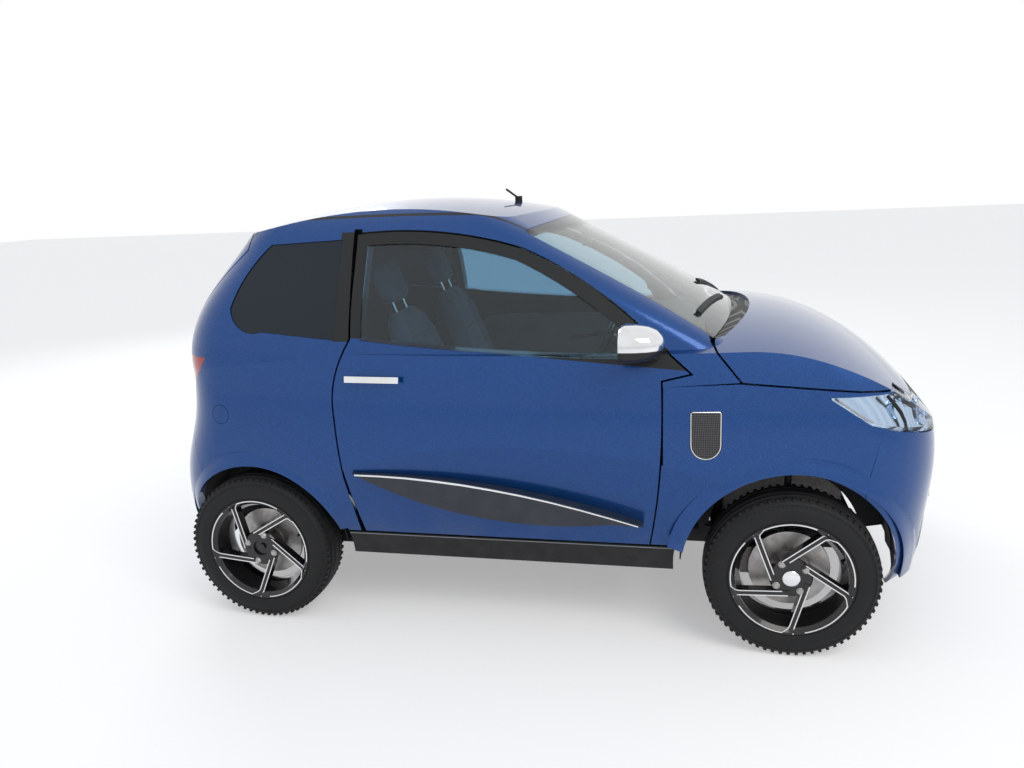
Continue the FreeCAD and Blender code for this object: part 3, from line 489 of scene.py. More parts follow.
def make_net(name):
    """Black plastic net with small square holes, for the vents and the grille; the holes are painted shade.
    """
    finish = Finish(name)
    across = ((finish.axis("X") + finish.axis("Y")) * 1100).math("SINE")
    upward = (finish.axis("Z") * 1100).math("SINE")
    wires = across.math("MAXIMUM", upward).smooth(0.35, 0.6)
    # painted shade: the holes between the wires are near black
    finish.set("Base Color", finish.mix(wires, (0.002, 0.002, 0.002), (0.085, 0.085, 0.09)))
    finish.set("Roughness", 0.75 - wires * 0.35)
    finish.bump(wires, 0.9, 0.002)
    return finish


reflector = make_reflector("lamp_reflector")
screen_glass = make_screen("screen_glass")
net_plastic = make_net("net_plastic")
white_plastic = make_gloss("white_plastic", (0.62, 0.63, 0.64))
print("patterned finishes made")

# %% [markdown]
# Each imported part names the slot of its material, and a slot stands for one finish. That keeps parts of
# one stuff alike. A few parts that show two finishes are named one by one.

# %% Give each node its finish
SLOT_FINISHES = {
    "body_paint": paint, "black_plastic": black_plastic, "gloss_black": gloss_black, "chrome": chrome,
    "clear_glass": clear_glass, "dark_glass": dark_glass, "lamp_clear": lamp_glass, "lamp_red": lamp_red,
    "tyre": rubber, "alloy": gloss_black, "frame_paint": frame_paint, "cast_steel": cast, "trim": trim,
    "seat_cloth": seat_cloth, "carpet": carpet, "plate_white": plate_white, "exhaust_steel": steel,
}
NODE_FINISHES = {
    "door_left": door_finish, "door_right": door_finish, "body_side_left": side_finish,
    "body_side_right": side_finish, "roof_panel": roof_finish, "front_bumper": bumper_finish,
    "door_trim_left": trim_finish, "door_trim_right": trim_finish, "sill_covers": sill_finish,
    "tail_lamps": tail_finish, "windscreen": screen_glass, "side_vents": net_plastic,
    "front_grille": net_plastic,
}
slots = {row["node"]: row["material_slot"] for row in frame["record"]["subparts"]}
for name, node in nodes.items():
    finish = NODE_FINISHES.get(name, SLOT_FINISHES[slots[name]])
    for slot in node.material_slots:
        slot.material = finish.material
print(len(nodes), "nodes have their finish")

# %% [markdown]
# The pieces below are made as meshes in the car's own frame. Boxes and cylinders could be joined by
# booleans, but those leave stray slivers. A skin drawn through rings of points is closed from the start,
# so turned shapes, ribbons, tubes and blocks are all made as one.

# %% Makers of closed forms
def loft(mesh, rings, closed=False):
    """Skin over rings of as many points each. Open ends get flat caps, closed ones meet."""
    rows = [[mesh.verts.new(point) for point in ring] for ring in rings]
    count = len(rows[0])
    for low, high in zip(rows, rows[1:] + (rows[:1] if closed else [])):
        for index in range(count):
            after = (index + 1) % count
            mesh.faces.new((low[index], low[after], high[after], high[index]))
    if not closed:
        mesh.faces.new(rows[0][::-1])
        mesh.faces.new(rows[-1])


def squared(angle, power):
    """A point on a squared-off oval."""
    c, s = math.cos(angle), math.sin(angle)
    return (math.copysign(abs(c) ** (2 / power), c), math.copysign(abs(s) ** (2 / power), s))


def oval_points(count, power):
    """A squared-off oval of size one, point by point."""
    return [squared(2 * math.pi * step / count, power) for step in range(count)]


def turned(mesh, profile, count, closed=False):
    """Turns (radius, height) points about the local axis. A closed profile makes a ring."""
    angles = [2 * math.pi * step / count for step in range(count)]
    loft(mesh, [[(radius * math.cos(a), radius * math.sin(a), height) for a in angles]
                for radius, height in profile], closed)


def ribbon(mesh, path, widths, up, thick):
    """A flat bar along a path. Up is the direction of its thickness."""
    over = Vector(up)
    lift = over * (thick / 2)
    rings = []
    for index, centre in enumerate(path):
        ahead = path[min(index + 1, len(path) - 1)] - path[max(index - 1, 0)]
        aside = ahead.cross(over).normalized() * (widths[index] / 2)
        rings.append([centre - aside - lift, centre + aside - lift, centre + aside * 0.8 + lift,
                      centre - aside * 0.8 + lift])
    loft(mesh, rings)


def tube(mesh, path, radius, sides, closed=False):
    """A round bar along a path, whose sections keep one side towards the last one's."""
    points = [Vector(point) for point in path]
    count = len(points)
    turn = [2 * math.pi * step / sides for step in range(sides)]
    side = None
    rings = []
    for index, point in enumerate(points):
        before = points[index - 1] if index or closed else point
        after = points[(index + 1) % count] if index + 1 < count or closed else point
        ahead = (after - before).normalized()
        side = side or ahead.orthogonal()
        side = (side - ahead * side.dot(ahead)).normalized()
        other = ahead.cross(side)
        rings.append([point + (side * math.cos(a) + other * math.sin(a)) * radius for a in turn])
    loft(mesh, rings, closed)


def block(mesh, low, high, ease):
    """A box whose ends draw in a little, as a moulding's do."""
    (x0, y0, z0), (x1, y1, z1) = low, high
    reach = min(x1 - x0, y1 - y0, z1 - z0) * ease

    def ring(height, inset):
        return [(x0 + inset, y0 + inset, height), (x1 - inset, y0 + inset, height),
                (x1 - inset, y1 - inset, height), (x0 + inset, y1 - inset, height)]
    loft(mesh, [ring(z0, reach), ring(z0 + reach, 0), ring(z1 - reach, 0), ring(z1, reach)])


def join(target, source, matrix):
    """Adds one bmesh to another, set in its place, and frees it."""
    bmesh.ops.transform(source, matrix=matrix, verts=source.verts)
    kept = bpy.data.meshes.new("kept")
    source.to_mesh(kept)
    source.free()
    target.from_mesh(kept)


def aimed(place, ahead):
    """Sets a turned shape at a place with its axis along a direction."""
    return Matrix.Translation(place) @ Vector(ahead).to_track_quat("Z", "Y").to_matrix().to_4x4()


print("makers of forms ready")

# %% [markdown]
# A finished form becomes an object that rides one of the car's bodies, so that it moves with its joint.
# Where a piece has to lie on a packed surface, rays are cast at the solid, which is surer than measuring.

# %% Pieces on their bodies
SIDES = {"left": 1, "right": -1}


def scratch(name, mesh):
    """An object made of a bmesh, with nothing set on it yet."""
    data = bpy.data.meshes.new(name)
    mesh.to_mesh(data)
    mesh.free()
    made = bpy.data.objects.new(name, data)
    bpy.context.scene.collection.objects.link(made)
    return made


def piece(name, mesh, finish, body, smooth=35, bevel=0.0):
    """Turns a bmesh into an object that rides a body."""
    bmesh.ops.recalc_face_normals(mesh, faces=mesh.faces)
    if bevel:
        sharp = [edge for edge in mesh.edges if len(edge.link_faces) == 2
                 and edge.calc_face_angle(0) > math.radians(40)]
        bmesh.ops.bevel(mesh, geom=sharp, offset=bevel, segments=2, affect="EDGES", clamp_overlap=True)
    for face in mesh.faces:
        face.smooth = True
    for edge in mesh.edges:
        edge.smooth = len(edge.link_faces) != 2 or edge.calc_face_angle(0) < math.radians(smooth)
    made = scratch(name, mesh)
    made.data.materials.append(finish.material)
    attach(made, body)
    return made


def caster(node):
    """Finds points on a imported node."""
    data = nodes[node].data
    return BVHTree.FromPolygons([vertex.co[:] for vertex in data.vertices],
                                [face.vertices[:] for face in data.polygons])


def outer_point(shape, x, z, side, lift=0.0):
    """The outermost point of a flank at one x and z."""
    hit = shape.ray_cast(Vector((x, side * 2, z)), Vector((0, -side, 0)))[0]
    return hit + Vector((0, side * lift, 0)) if hit else None


print("pieces can ride the bodies")

# %% [markdown]
# Tread lugs, wheel bolts and slats repeat. Copying them in a Python loop would work too, but a Geometry
# Nodes tree with named inputs and a fixed seed shows its rule, and can be reused with other numbers. Each
# tree ends in Realize Instances and Set Material, and its result is kept as a plain mesh.

# %% Growing trees
class Growth(Tree):
    """A Geometry Nodes tree with named inputs."""

    def __init__(self, name, inputs):
        super().__init__(bpy.data.node_groups.new(name, "GeometryNodeTree"))
        face = self.tree.interface
        face.new_socket("Geometry", in_out="INPUT", socket_type="NodeSocketGeometry")
        for label, kind in inputs.items():
            face.new_socket(label, in_out="INPUT", socket_type="NodeSocket" + kind)
        face.new_socket("Geometry", in_out="OUTPUT", socket_type="NodeSocketGeometry")
        self.entry = self.tree.nodes.new("NodeGroupInput")

    def input(self, label):
        return Wire(self, self.entry.outputs[label])

    def copied(self):
        """The geometry of the object to copy."""
        return self.add("GeometryNodeObjectInfo", {"transform_space": "ORIGINAL"},
                        {"Object": self.input("Copy")}, "Geometry")

    def end(self, spots, **turned_by):
        """Sets a copy on each spot, realizes the copies, sets their material and closes the tree."""
        copies = self.add("GeometryNodeInstanceOnPoints", {},
                          {"Points": spots, "Instance": self.copied(), **turned_by})
        real = self.add("GeometryNodeRealizeInstances", {}, {"Geometry": copies})
        painted = self.add("GeometryNodeSetMaterial", {},
                           {"Geometry": real, "Material": self.input("Material")})
        leave = self.tree.nodes.new("NodeGroupOutput")
        self.tree.links.new(painted.socket, leave.inputs[0])

    def grow(self, source, values):
        """Runs the tree on a source object and returns the plain mesh."""
        modifier = source.modifiers.new("growth", "NODES")
        modifier.node_group = self.tree
        rows = [item for item in self.tree.interface.items_tree if item.in_out == "INPUT"]
        keys = {item.name: item.identifier for item in rows}
        for label, value in values.items():
            modifier[keys[label]] = value
        grown = source.evaluated_get(bpy.context.evaluated_depsgraph_get())
        data = bpy.data.meshes.new_from_object(grown)
        source.modifiers.remove(modifier)
        return data


print("trees can grow")

# %% [markdown]
# The first tree sets copies on a ring, evenly turned about the axis, and wears each one down at random.
# The second sets copies along a line, a step apart, turned along it.

# %% Copies on a ring and on a line
ring_tree = Growth("copies_on_a_ring", {"Copy": "Object", "Count": "Int", "Radius": "Float",
                                        "First Angle": "Float", "Height": "Float", "Wear": "Float",
                                        "Seed": "Int", "Material": "Material"})
step_angle = ring_tree.input("Count").math("POWER", -1.0) * 2 * math.pi
angle = ring_tree.add("GeometryNodeInputIndex", {}, {}) * step_angle + ring_tree.input("First Angle")
radius = ring_tree.input("Radius")
spot = ring_tree.add("ShaderNodeCombineXYZ", {}, {"X": angle.math("COSINE") * radius,
                                                  "Y": angle.math("SINE") * radius,
                                                  "Z": ring_tree.input("Height")})
spots = ring_tree.add("GeometryNodePoints", {}, {"Count": ring_tree.input("Count"), "Position": spot})
turn = ring_tree.add("FunctionNodeEulerToRotation", {},
                     {0: ring_tree.add("ShaderNodeCombineXYZ", {}, {"Z": angle})})
worn = ring_tree.add("FunctionNodeRandomValue", {}, {"Min": 1 - ring_tree.input("Wear"), "Max": 1.0,
                                                     "Seed": ring_tree.input("Seed")}, 1)
size = ring_tree.add("ShaderNodeCombineXYZ", {}, {"X": worn, "Y": 1.0, "Z": 1.0})
ring_tree.end(spots, Rotation=turn, Scale=size)

line_tree = Growth("copies_on_a_line", {"Copy": "Object", "Step": "Float", "Material": "Material"})
line = line_tree.add("GeometryNodeMeshToCurve", {}, {"Mesh": line_tree.input("Geometry")})
spaced = line_tree.add("GeometryNodeResampleCurve", {"mode": "LENGTH"},
                       {"Curve": line, "Length": line_tree.input("Step")})
along = line_tree.add("FunctionNodeAlignRotationToVector", {"axis": "X"},
                      {"Vector": line_tree.add("GeometryNodeInputTangent", {}, {})})
line_tree.end(spaced, Rotation=along)


def on_a_ring(source, count, radius, finish, first=0.0, height=0.0, wear=0.0, seed=1):
    """Grows copies of a source on a ring and returns them as one plain mesh."""
    return ring_tree.grow(bare, {"Copy": source, "Count": count, "Radius": radius, "First Angle": first,
                                 "Height": height, "Wear": wear, "Seed": seed, "Material": finish.material})


bare = scratch("bare", bmesh.new())
print("two growing trees ready")

# %% [markdown]
# A real tyre is a moulded carcass with round grooves, ribs on its shoulders and fine ribs on its
# sidewalls. One turned outline gives the carcass, and the lugs and ribs grow on rings. All of it is made
# in a wheel's own frame, to the right, up and outward as one looks at the wheel, and then set on each of
# the four axles, so that near and far wheels are mirrored rightly.

# %% Tyres
TYRE_HALF = (
    (0.1795, 0.058), (0.184, 0.066), (0.190, 0.0705), (0.194, 0.0700), (0.197, 0.0735), (0.208, 0.0760),
    (0.222, 0.0765), (0.234, 0.0750), (0.236, 0.0738), (0.248, 0.0705), (0.2495, 0.0715),
    (0.256, 0.0670), (0.2615, 0.0610), (0.2645, 0.0520), (0.2665, 0.0470), (0.2610, 0.0455),
    (0.2610, 0.0405), (0.2690, 0.0390), (0.2700, 0.0230), (0.2640, 0.0215), (0.2640, 0.0165),
    (0.2706, 0.0150))
AXLES = {"front": AXLE_FRONT, "rear": AXLE_REAR}
WHEELS = {(end, side): axle for end, axle in AXLES.items() for side in SIDES}
TRACK_HALF = 0.650


def wheel_frame(end, side):
    """From right, up and outward at a wheel to the car's frame."""
    sign = SIDES[side]
    frame_axes = Matrix(((-sign, 0, 0), (0, 0, sign), (0, 1, 0))).to_4x4()
    return Matrix.Translation((WHEELS[end, side], 0, AXLE_HEIGHT)) @ frame_axes


def on_wheels(name, mesh, finish, ends=("front", "rear"), turn_rear=0.0, smooth=35, instead=None):
    """Sets one local mesh on the wheels and frees it."""
    for end, side in WHEELS:
        if end in ends:
            there = mesh.copy()
            spin = Matrix.Rotation(turn_rear if end == "rear" else 0.0, 4, "Z")
            bmesh.ops.transform(there, matrix=wheel_frame(end, side) @ spin, verts=there.verts)
            made = piece(f"{name}_{end}_{side}", there, finish, f"wheel_{end}_{side}", smooth)
            if instead:
                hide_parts(f"{instead}_{end}_{side}")
    mesh.free()


tyre = bmesh.new()
near_half = [(radius, TRACK_HALF + out) for radius, out in TYRE_HALF]
far_half = [(radius, TRACK_HALF - out) for radius, out in TYRE_HALF[::-1]]
turned(tyre, near_half + far_half, 120, closed=True)

lug = bmesh.new()
block(lug, (-0.0045, -0.0050, -0.0095), (0.0042, 0.0050, 0.0095), 0.12)
rib = bmesh.new()
block(rib, (-0.0048, -0.0005, -0.0007), (0.0048, 0.0005, 0.0007), 0.2)
lug_source = scratch("lug", lug)
rib_source = scratch("rib", rib)
LUGS, LUG_RADIUS, LUG_OUT, LUG_WEAR = 68, 0.2622, 0.0565, 0.002
RIBS, RIB_RADIUS, RIB_OUT = 110, 0.2425, 0.0725
for face, first, lug_seed, rib_seed in ((1, 0.0, 3, 5), (-1, 0.046, 4, 6)):
    tyre.from_mesh(on_a_ring(lug_source, LUGS, LUG_RADIUS, rubber, first, TRACK_HALF + face * LUG_OUT,
                             LUG_WEAR, lug_seed))
    tyre.from_mesh(on_a_ring(rib_source, RIBS, RIB_RADIUS, rubber, 0.0, TRACK_HALF + face * RIB_OUT,
                             seed=rib_seed))
print("tyre faces:", len(tyre.faces))
on_wheels("tyre_dress", tyre, rubber, smooth=25, instead="tyre")

# %% [markdown]
# A cast rim has a barrel that the tyre sits on, a hub disc, and five straight spokes that leave the hub
# at a tangent. Barrel and hub are turned, and one spoke is drawn and then turned round five times. The
# front hub is flat and takes a bright cap. The rear hub is a dish with a nut in it. The brake disc turns
# with the rim, and has slots round its edge.

# %% Rims and brake discs
HUB_FACE, SPOKE_FACE, RIM_FACE = 0.708, 0.711, 0.723
SPOKE_ROOT, SPOKE_TIP = (0.054, math.radians(117)), (0.175, math.radians(56))
SPOKES, SPOKE_WIDTH, SPOKE_DEPTH = 5, 0.02128, 0.030
REAR_TURN = math.radians(-8)
RIM_BARREL = (
    (0.1900, 0.7232), (0.1905, 0.7160), (0.1785, 0.7120), (0.1775, 0.6900), (0.1600, 0.6760),
    (0.1600, 0.6240), (0.1775, 0.6060), (0.1785, 0.5880), (0.1905, 0.5840), (0.1900, 0.5770),
    (0.1840, 0.5775), (0.1720, 0.5920), (0.1540, 0.6260), (0.1540, 0.6740), (0.1700, 0.7000),
    (0.1710, 0.7110), (0.1830, 0.7230))


def polar(radius, at):
    return Vector((radius * math.cos(at), radius * math.sin(at), 0))


def make_rim_form(hub):
    """Barrel, hub and spokes, in the wheel's own frame."""
    form = bmesh.new()
    turned(form, RIM_BARREL, 96, closed=True)
    turned(form, hub, 60)
    root, tip = polar(*SPOKE_ROOT), polar(*SPOKE_TIP)
    ahead = (tip - root).normalized()
    lift = Vector((0, 0, SPOKE_FACE - SPOKE_DEPTH / 2))
    for index in range(SPOKES):
        spin = Matrix.Rotation(2 * math.pi * index / SPOKES, 3, "Z")
        path = [spin @ (root - ahead * 0.006), spin @ root.lerp(tip, 0.5), spin @ (tip + ahead * 0.002)]
        ribbon(form, [point + lift for point in path], [SPOKE_WIDTH] * 3, (0, 0, 1), SPOKE_DEPTH)
    return form


hub_wall = [(0.050, 0.650), (0.066, 0.660), (0.066, 0.703), (0.062, HUB_FACE)]
front_hub = hub_wall + [(0.020, HUB_FACE)]
rear_hub = hub_wall + [(0.030, HUB_FACE), (0.027, 0.697), (0.012, 0.696), (0.012, 0.703), (0.004, 0.704)]
on_wheels("rim_dress", make_rim_form(front_hub), gloss_black, ends=("front",), instead="rim")
on_wheels("rim_dress", make_rim_form(rear_hub), gloss_black, ends=("rear",), turn_rear=REAR_TURN,
          instead="rim")

slot_cut = bmesh.new()
block(slot_cut, (-0.0125, -0.0014, -0.0003), (0.0125, 0.0014, 0.0003), 0.2)
slot_source = scratch("slot_cut", slot_cut)
disc = bmesh.new()
turned(disc, [(0.060, 0.629), (0.125, 0.629), (0.126, 0.6305), (0.126, 0.6385), (0.125, 0.640),
              (0.058, 0.640), (0.056, 0.652), (0.052, 0.652), (0.052, 0.629)], 72, closed=True)
disc.from_mesh(on_a_ring(slot_source, 14, 0.1, steel, height=0.6402))
on_wheels("brake_disc", disc, steel)
print("rims and discs on four wheels")

# %% [markdown]
# The rims are black, and a lathe has cut bright lines on them. Each spoke has one line along either edge,
# and the second turns at the rim into an arc that stops short of the next spoke. A painted mask would
# lie flat, so the lines are thin raised bands, and they catch the light as cut metal does.

# %% Bright lines on the spokes
EDGE_OFFSET, LINE_WIDTH, ARC_WIDTH = 0.0074, 0.0042, 0.0046


def rim_out(radius):
    """The height of the rim's face at a radius."""
    return SPOKE_FACE + min(max(radius - 0.171, 0), RIM_FACE - SPOKE_FACE)


def edge_line(offset, start, stop, steps=10):
    """Points beside the spoke's middle line, between two radii."""
    root, tip = polar(*SPOKE_ROOT), polar(*SPOKE_TIP)
    ahead = (tip - root).normalized()
    aside = Vector((-ahead.y, ahead.x, 0)) * offset
    far = [root + ahead * (0.0008 * step) + aside for step in range(260)]
    kept = [point for point in far if start <= point.length <= stop and point.dot(ahead) > 0]
    return [kept[round(index * (len(kept) - 1) / steps)] for index in range(steps + 1)]


lines = bmesh.new()
first_line = edge_line(EDGE_OFFSET, 0.057, 0.1875)
second_line = edge_line(-EDGE_OFFSET, 0.053, 0.166)
corner = math.atan2(second_line[-1].y, second_line[-1].x)
chamfer = [polar(0.1745, corner - math.radians(2.2)), polar(0.1815, corner - math.radians(6.0))]
arc = [polar(0.1850, corner - math.radians(8 + 50 * step / 14)) for step in range(15)]
for index in range(SPOKES):
    spin = Matrix.Rotation(2 * math.pi * index / SPOKES, 3, "Z")
    for path in (first_line, second_line + chamfer + arc):
        placed = [spin @ point + Vector((0, 0, rim_out(point.length) + 0.0003)) for point in path]
        widths = [LINE_WIDTH if point.length < 0.18 else ARC_WIDTH for point in path]
        ribbon(lines, placed, widths, (0, 0, 1), 0.0014)
on_wheels("spoke_lines", lines, machined, turn_rear=REAR_TURN)
print("spoke lines on four wheels")

# %% [markdown]
# Four bolts hold each wheel. They are hexagons on a round collar and grow on a ring. The front wheels
# hide the axle under a domed chrome cap, and each rim has a rubber valve.

# %% Bolts, centre caps and valves
bolt = bmesh.new()
turned(bolt, [(0.0098, -0.004), (0.0098, 0.0035), (0.0086, 0.0048)], 6)
turned(bolt, [(0.0118, -0.004), (0.0118, 0.0008), (0.0108, 0.0016)], 24)
bolt_source = scratch("bolt", bolt)
bolts = bmesh.new()
bolts.from_mesh(on_a_ring(bolt_source, 4, 0.0525, steel, math.radians(33), HUB_FACE + 0.001))
on_wheels("wheel_bolts", bolts, steel, turn_rear=math.radians(38))

cap = bmesh.new()
turned(cap, [(0.0275, HUB_FACE - 0.001), (0.0280, HUB_FACE + 0.003), (0.0265, HUB_FACE + 0.0085),
             (0.0215, HUB_FACE + 0.0125), (0.0130, HUB_FACE + 0.0145), (0.0040, HUB_FACE + 0.0152)], 40)
on_wheels("centre_cap", cap, chrome, ends=("front",))

valve = bmesh.new()
turned(valve, [(0.0035, 0.676), (0.0035, 0.698), (0.0042, 0.699), (0.0042, 0.706), (0.0030, 0.708)], 12)
bmesh.ops.translate(valve, vec=polar(0.160, math.radians(20)), verts=valve.verts)
on_wheels("valve", valve, black_plastic)
print("bolts, caps and valves set")

# %% [markdown]
# Each wheel arch has a flared lip, and a lower panel carries the front wing down to the sill. Both have
# to follow the crowned flank. The flank is in several panels with gaps between them, so its height is
# read by rays at many places, and a smooth surface is fitted to what they hit.

# %% Reading the flank
FLANK_NODES = ("door", "body_side", "front_wing")
LEAST_FLANK = 0.60


def flank_reader(side):
    """Returns a function that fits the flank's height over the middle plane in one window."""
    sign = SIDES[side]
    shapes = [caster(f"{name}_{side}") for name in FLANK_NODES]
    shapes += [caster("front_bumper"), caster("rear_bumper")]

    def height(x, z):
        found = [outer_point(shape, x, z, sign) for shape in shapes]
        return max([abs(point.y) for point in found if point] or [0])

    def fit(x0, x1, z0, z1, degree=4):
        spots = [(x0 + (x1 - x0) * i / 30, z0 + (z1 - z0) * j / 24) for i in range(31) for j in range(25)]
        rows = [(x, z, height(x, z)) for x, z in spots]
        rows = [row for row in rows if row[2] > LEAST_FLANK]
        powers = [(a, b) for a in range(degree + 1) for b in range(degree + 1 - a)]

        def terms(x, z):
            u = (x - (x0 + x1) / 2) / ((x1 - x0) / 2)
            v = (z - (z0 + z1) / 2) / ((z1 - z0) / 2)
            return [u ** a * v ** b for a, b in powers]
        heights = np.array([row[2] for row in rows])
        weights = np.linalg.lstsq(np.array([terms(x, z) for x, z, _ in rows]), heights, rcond=None)[0]
        return lambda x, z: float(np.dot(terms(x, z), weights))
    return fit


flank_fits = {side: flank_reader(side) for side in SIDES}
print("both flanks can be read")

# %% [markdown]
# The lip's inner edge stands proud of the flank, and its outer edge fades into it. A boolean would leave
# a step there, so the lip is a skin of its own. A dark liner closes each arch over and beside the wheel,
# so that no light comes through, and leaves the road to be seen only low down.

# %% Arch lips and liners
ARCHES = {"front": (0.876, 0.346, -8, 167.3), "rear": (-0.953, 0.312, 13.7, 188)}
LINERS = {"front": (11, 172), "rear": (4, 176)}
LINER_DEPTH, LINER_WALL, LINER_LAP = 0.40, 0.004, 0.022
LINER_REACH = {"front": 0.255, "rear": 0.290}
FLARE, FLARE_BAND, FLARE_SUNK, SKIN = 0.012, 0.050, 0.0012, 0.0035
LIP_DEPTH, LIP_WALL, WING_REAR = 0.030, 0.003, 0.482
ARCH_WINDOW = (-0.43, 0.37, 0.22, 0.72)


def arch_point(arch_x, reach, a):
    """The x and z at one reach and angle about an arch's centre."""
    return arch_x + reach * math.cos(a), AXLE_HEIGHT + reach * math.sin(a)


def make_lip(end, sign, smooth):
    """The flared lip, section by section round the arch."""
    arch_x, arch_radius, start, stop = ARCHES[end]
    rings = []
    for step in range(61):
        a = math.radians(start + (stop - start) * step / 60)
        fade = 0.25 + 0.75 * min(1, step / 4, (60 - step) / 4)
        ring = []
        for share in (0.0, 0.06, 0.2, 0.4, 0.6, 0.8, 1.0):
            x, z = arch_point(arch_x, arch_radius + FLARE_BAND * share, a)
            x = max(x, WING_REAR) if end == "front" else x
            rise = (FLARE + FLARE_SUNK) * (1 - share * share * (3 - 2 * share)) * fade - FLARE_SUNK
            ring.append(Vector((x, sign * (smooth(x, z) + rise), z)))
        lip_x, lip_z = arch_point(arch_x, arch_radius, a)
        deep = sign * (smooth(lip_x, lip_z) - LIP_DEPTH)
        wall_x, wall_z = lip_x + LIP_WALL * math.cos(a), lip_z + LIP_WALL * math.sin(a)
        back = [Vector((p.x, p.y - sign * (SKIN + 0.004), p.z)) for p in ring[1:][::-1]]
        rings.append([Vector((lip_x, deep, lip_z))] + ring + back + [Vector((wall_x, deep, wall_z))])
    lip = bmesh.new()
    loft(lip, rings)
    return lip


def make_liner(end, sign, smooth):
    """A strip over the tyre, with a wall beside it that reaches down towards the axle."""
    arch_x, arch_radius = ARCHES[end][:2]
    start, stop = LINERS[end]
    near, far = arch_radius + 0.001, arch_radius + 0.005
    wall, reach = LINER_DEPTH + LINER_WALL, LINER_REACH[end]
    rings = []
    for step in range(41):
        a = math.radians(start + (stop - start) * step / 40)
        edge = smooth(*arch_point(arch_x, near, a)) - LINER_LAP
        corners = ((near, edge), (near, wall), (reach, wall), (reach, LINER_DEPTH), (far, LINER_DEPTH),
                   (far, edge))
        places = [(arch_point(arch_x, r, a), sign * y) for r, y in corners]
        rings.append([(x, y, z) for (x, z), y in places])
    liner = bmesh.new()
    loft(liner, rings)
    return liner


for side, sign in SIDES.items():
    for end, (arch_x, *_) in ARCHES.items():
        smooth = flank_fits[side](arch_x + ARCH_WINDOW[0], arch_x + ARCH_WINDOW[1], *ARCH_WINDOW[2:])
        lip, liner = make_lip(end, sign, smooth), make_liner(end, sign, smooth)
        piece(f"arch_lip_{end}_{side}", lip, paint, "body_shell", smooth=50)
        piece(f"arch_liner_{end}_{side}", liner, black_plastic, "body_shell")
print("four arches lipped and lined")

# %% [markdown]
# Behind each front wheel the wing runs down to the sill, between the arch and the door. It is drawn row
# by row. Each row starts a shut line away from the door's own edge, which rays find.

# %% Lower front wings
SKIRT_FOOT, SKIRT_TOP, WING_EDGE, DOOR_GAP = 0.346, 0.640, 0.534, 0.0055
WING_WINDOW = (0.25, 0.78, 0.36, 0.70)
for side, sign in SIDES.items():
    arch_x, arch_radius = ARCHES["front"][:2]
    height = flank_fits[side](*WING_WINDOW, degree=3)
    door_shape = caster("door_" + side)
    rings = []
    for step in range(25):
        z = SKIRT_FOOT + (SKIRT_TOP - SKIRT_FOOT) * step / 24
        on_door = [x for x in [0.42 + 0.0005 * i for i in range(130)] if outer_point(door_shape, x, z, sign)]
        rear = max(on_door or [0.472]) + DOOR_GAP
        front = 0.484
        if z < WING_EDGE:
            front = arch_x - math.sqrt((arch_radius + 0.012) ** 2 - (z - AXLE_HEIGHT) ** 2)
        sunk = 0.0002 if z < 0.500 else -0.0008
        xs = [rear + (max(front, rear + 0.002) - rear) * share / 6 for share in range(7)]
        rings.append([Vector((x, sign * (height(x, z) + sunk), z)) for x in xs]
                     + [Vector((x, sign * (height(x, z) - SKIN), z)) for x in xs[::-1]])
    skirt = bmesh.new()
    loft(skirt, rings)
    piece("wing_skirt_" + side, skirt, paint, "body_shell", smooth=50)
print("lower wings made")

# %% [markdown]
# The cowl under the windscreen is a black grille that closes the gap between the glass and the bonnet.
# Its edges are found by rays from above, so that it meets both, and its middle sags a little.

# %% Cowl
glass_shape, bonnet_shape = caster("windscreen"), caster("bonnet")
COWL_HALF, COWL_SAG, COWL_WALL = 0.560, 0.006, 0.004


def top_edge(shape, y, low, high, keep):
    """The first or last x at which a shape is met from above."""
    places = [Vector((low + (high - low) * i / 240, y, 2)) for i in range(241)]
    hits = [shape.ray_cast(place, Vector((0, 0, -1)))[0] for place in places]
    hits = [point for point in hits if point]
    return keep(hits, key=lambda point: point.x) if hits else None


rings = []
down = Vector((0, 0, -COWL_WALL))
for step in range(41):
    y = -COWL_HALF + 2 * COWL_HALF * step / 40
    rear = top_edge(glass_shape, y, 0.3, 0.75, max)
    front = top_edge(bonnet_shape, y, 0.6, 1.0, min)
    if rear and front:
        rear += Vector((-0.004, 0, -0.009))
        front += Vector((0.014, 0, -0.012))
        middle = rear.lerp(front, 0.5) + Vector((0, 0, -COWL_SAG))
        rings.append([rear, middle, front, front + down, middle + down, rear + down])
cowl = bmesh.new()
loft(cowl, rings)
piece("cowl_cover", cowl, net_plastic, "body_shell", smooth=50)
print("cowl closed with", len(rings), "sections")

# %% [markdown]
# A chrome strip runs along the top edge of the lower door moulding, and the shield-shaped vents behind
# the front wheels have a bright rim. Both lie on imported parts, so rays find each point's place on them.

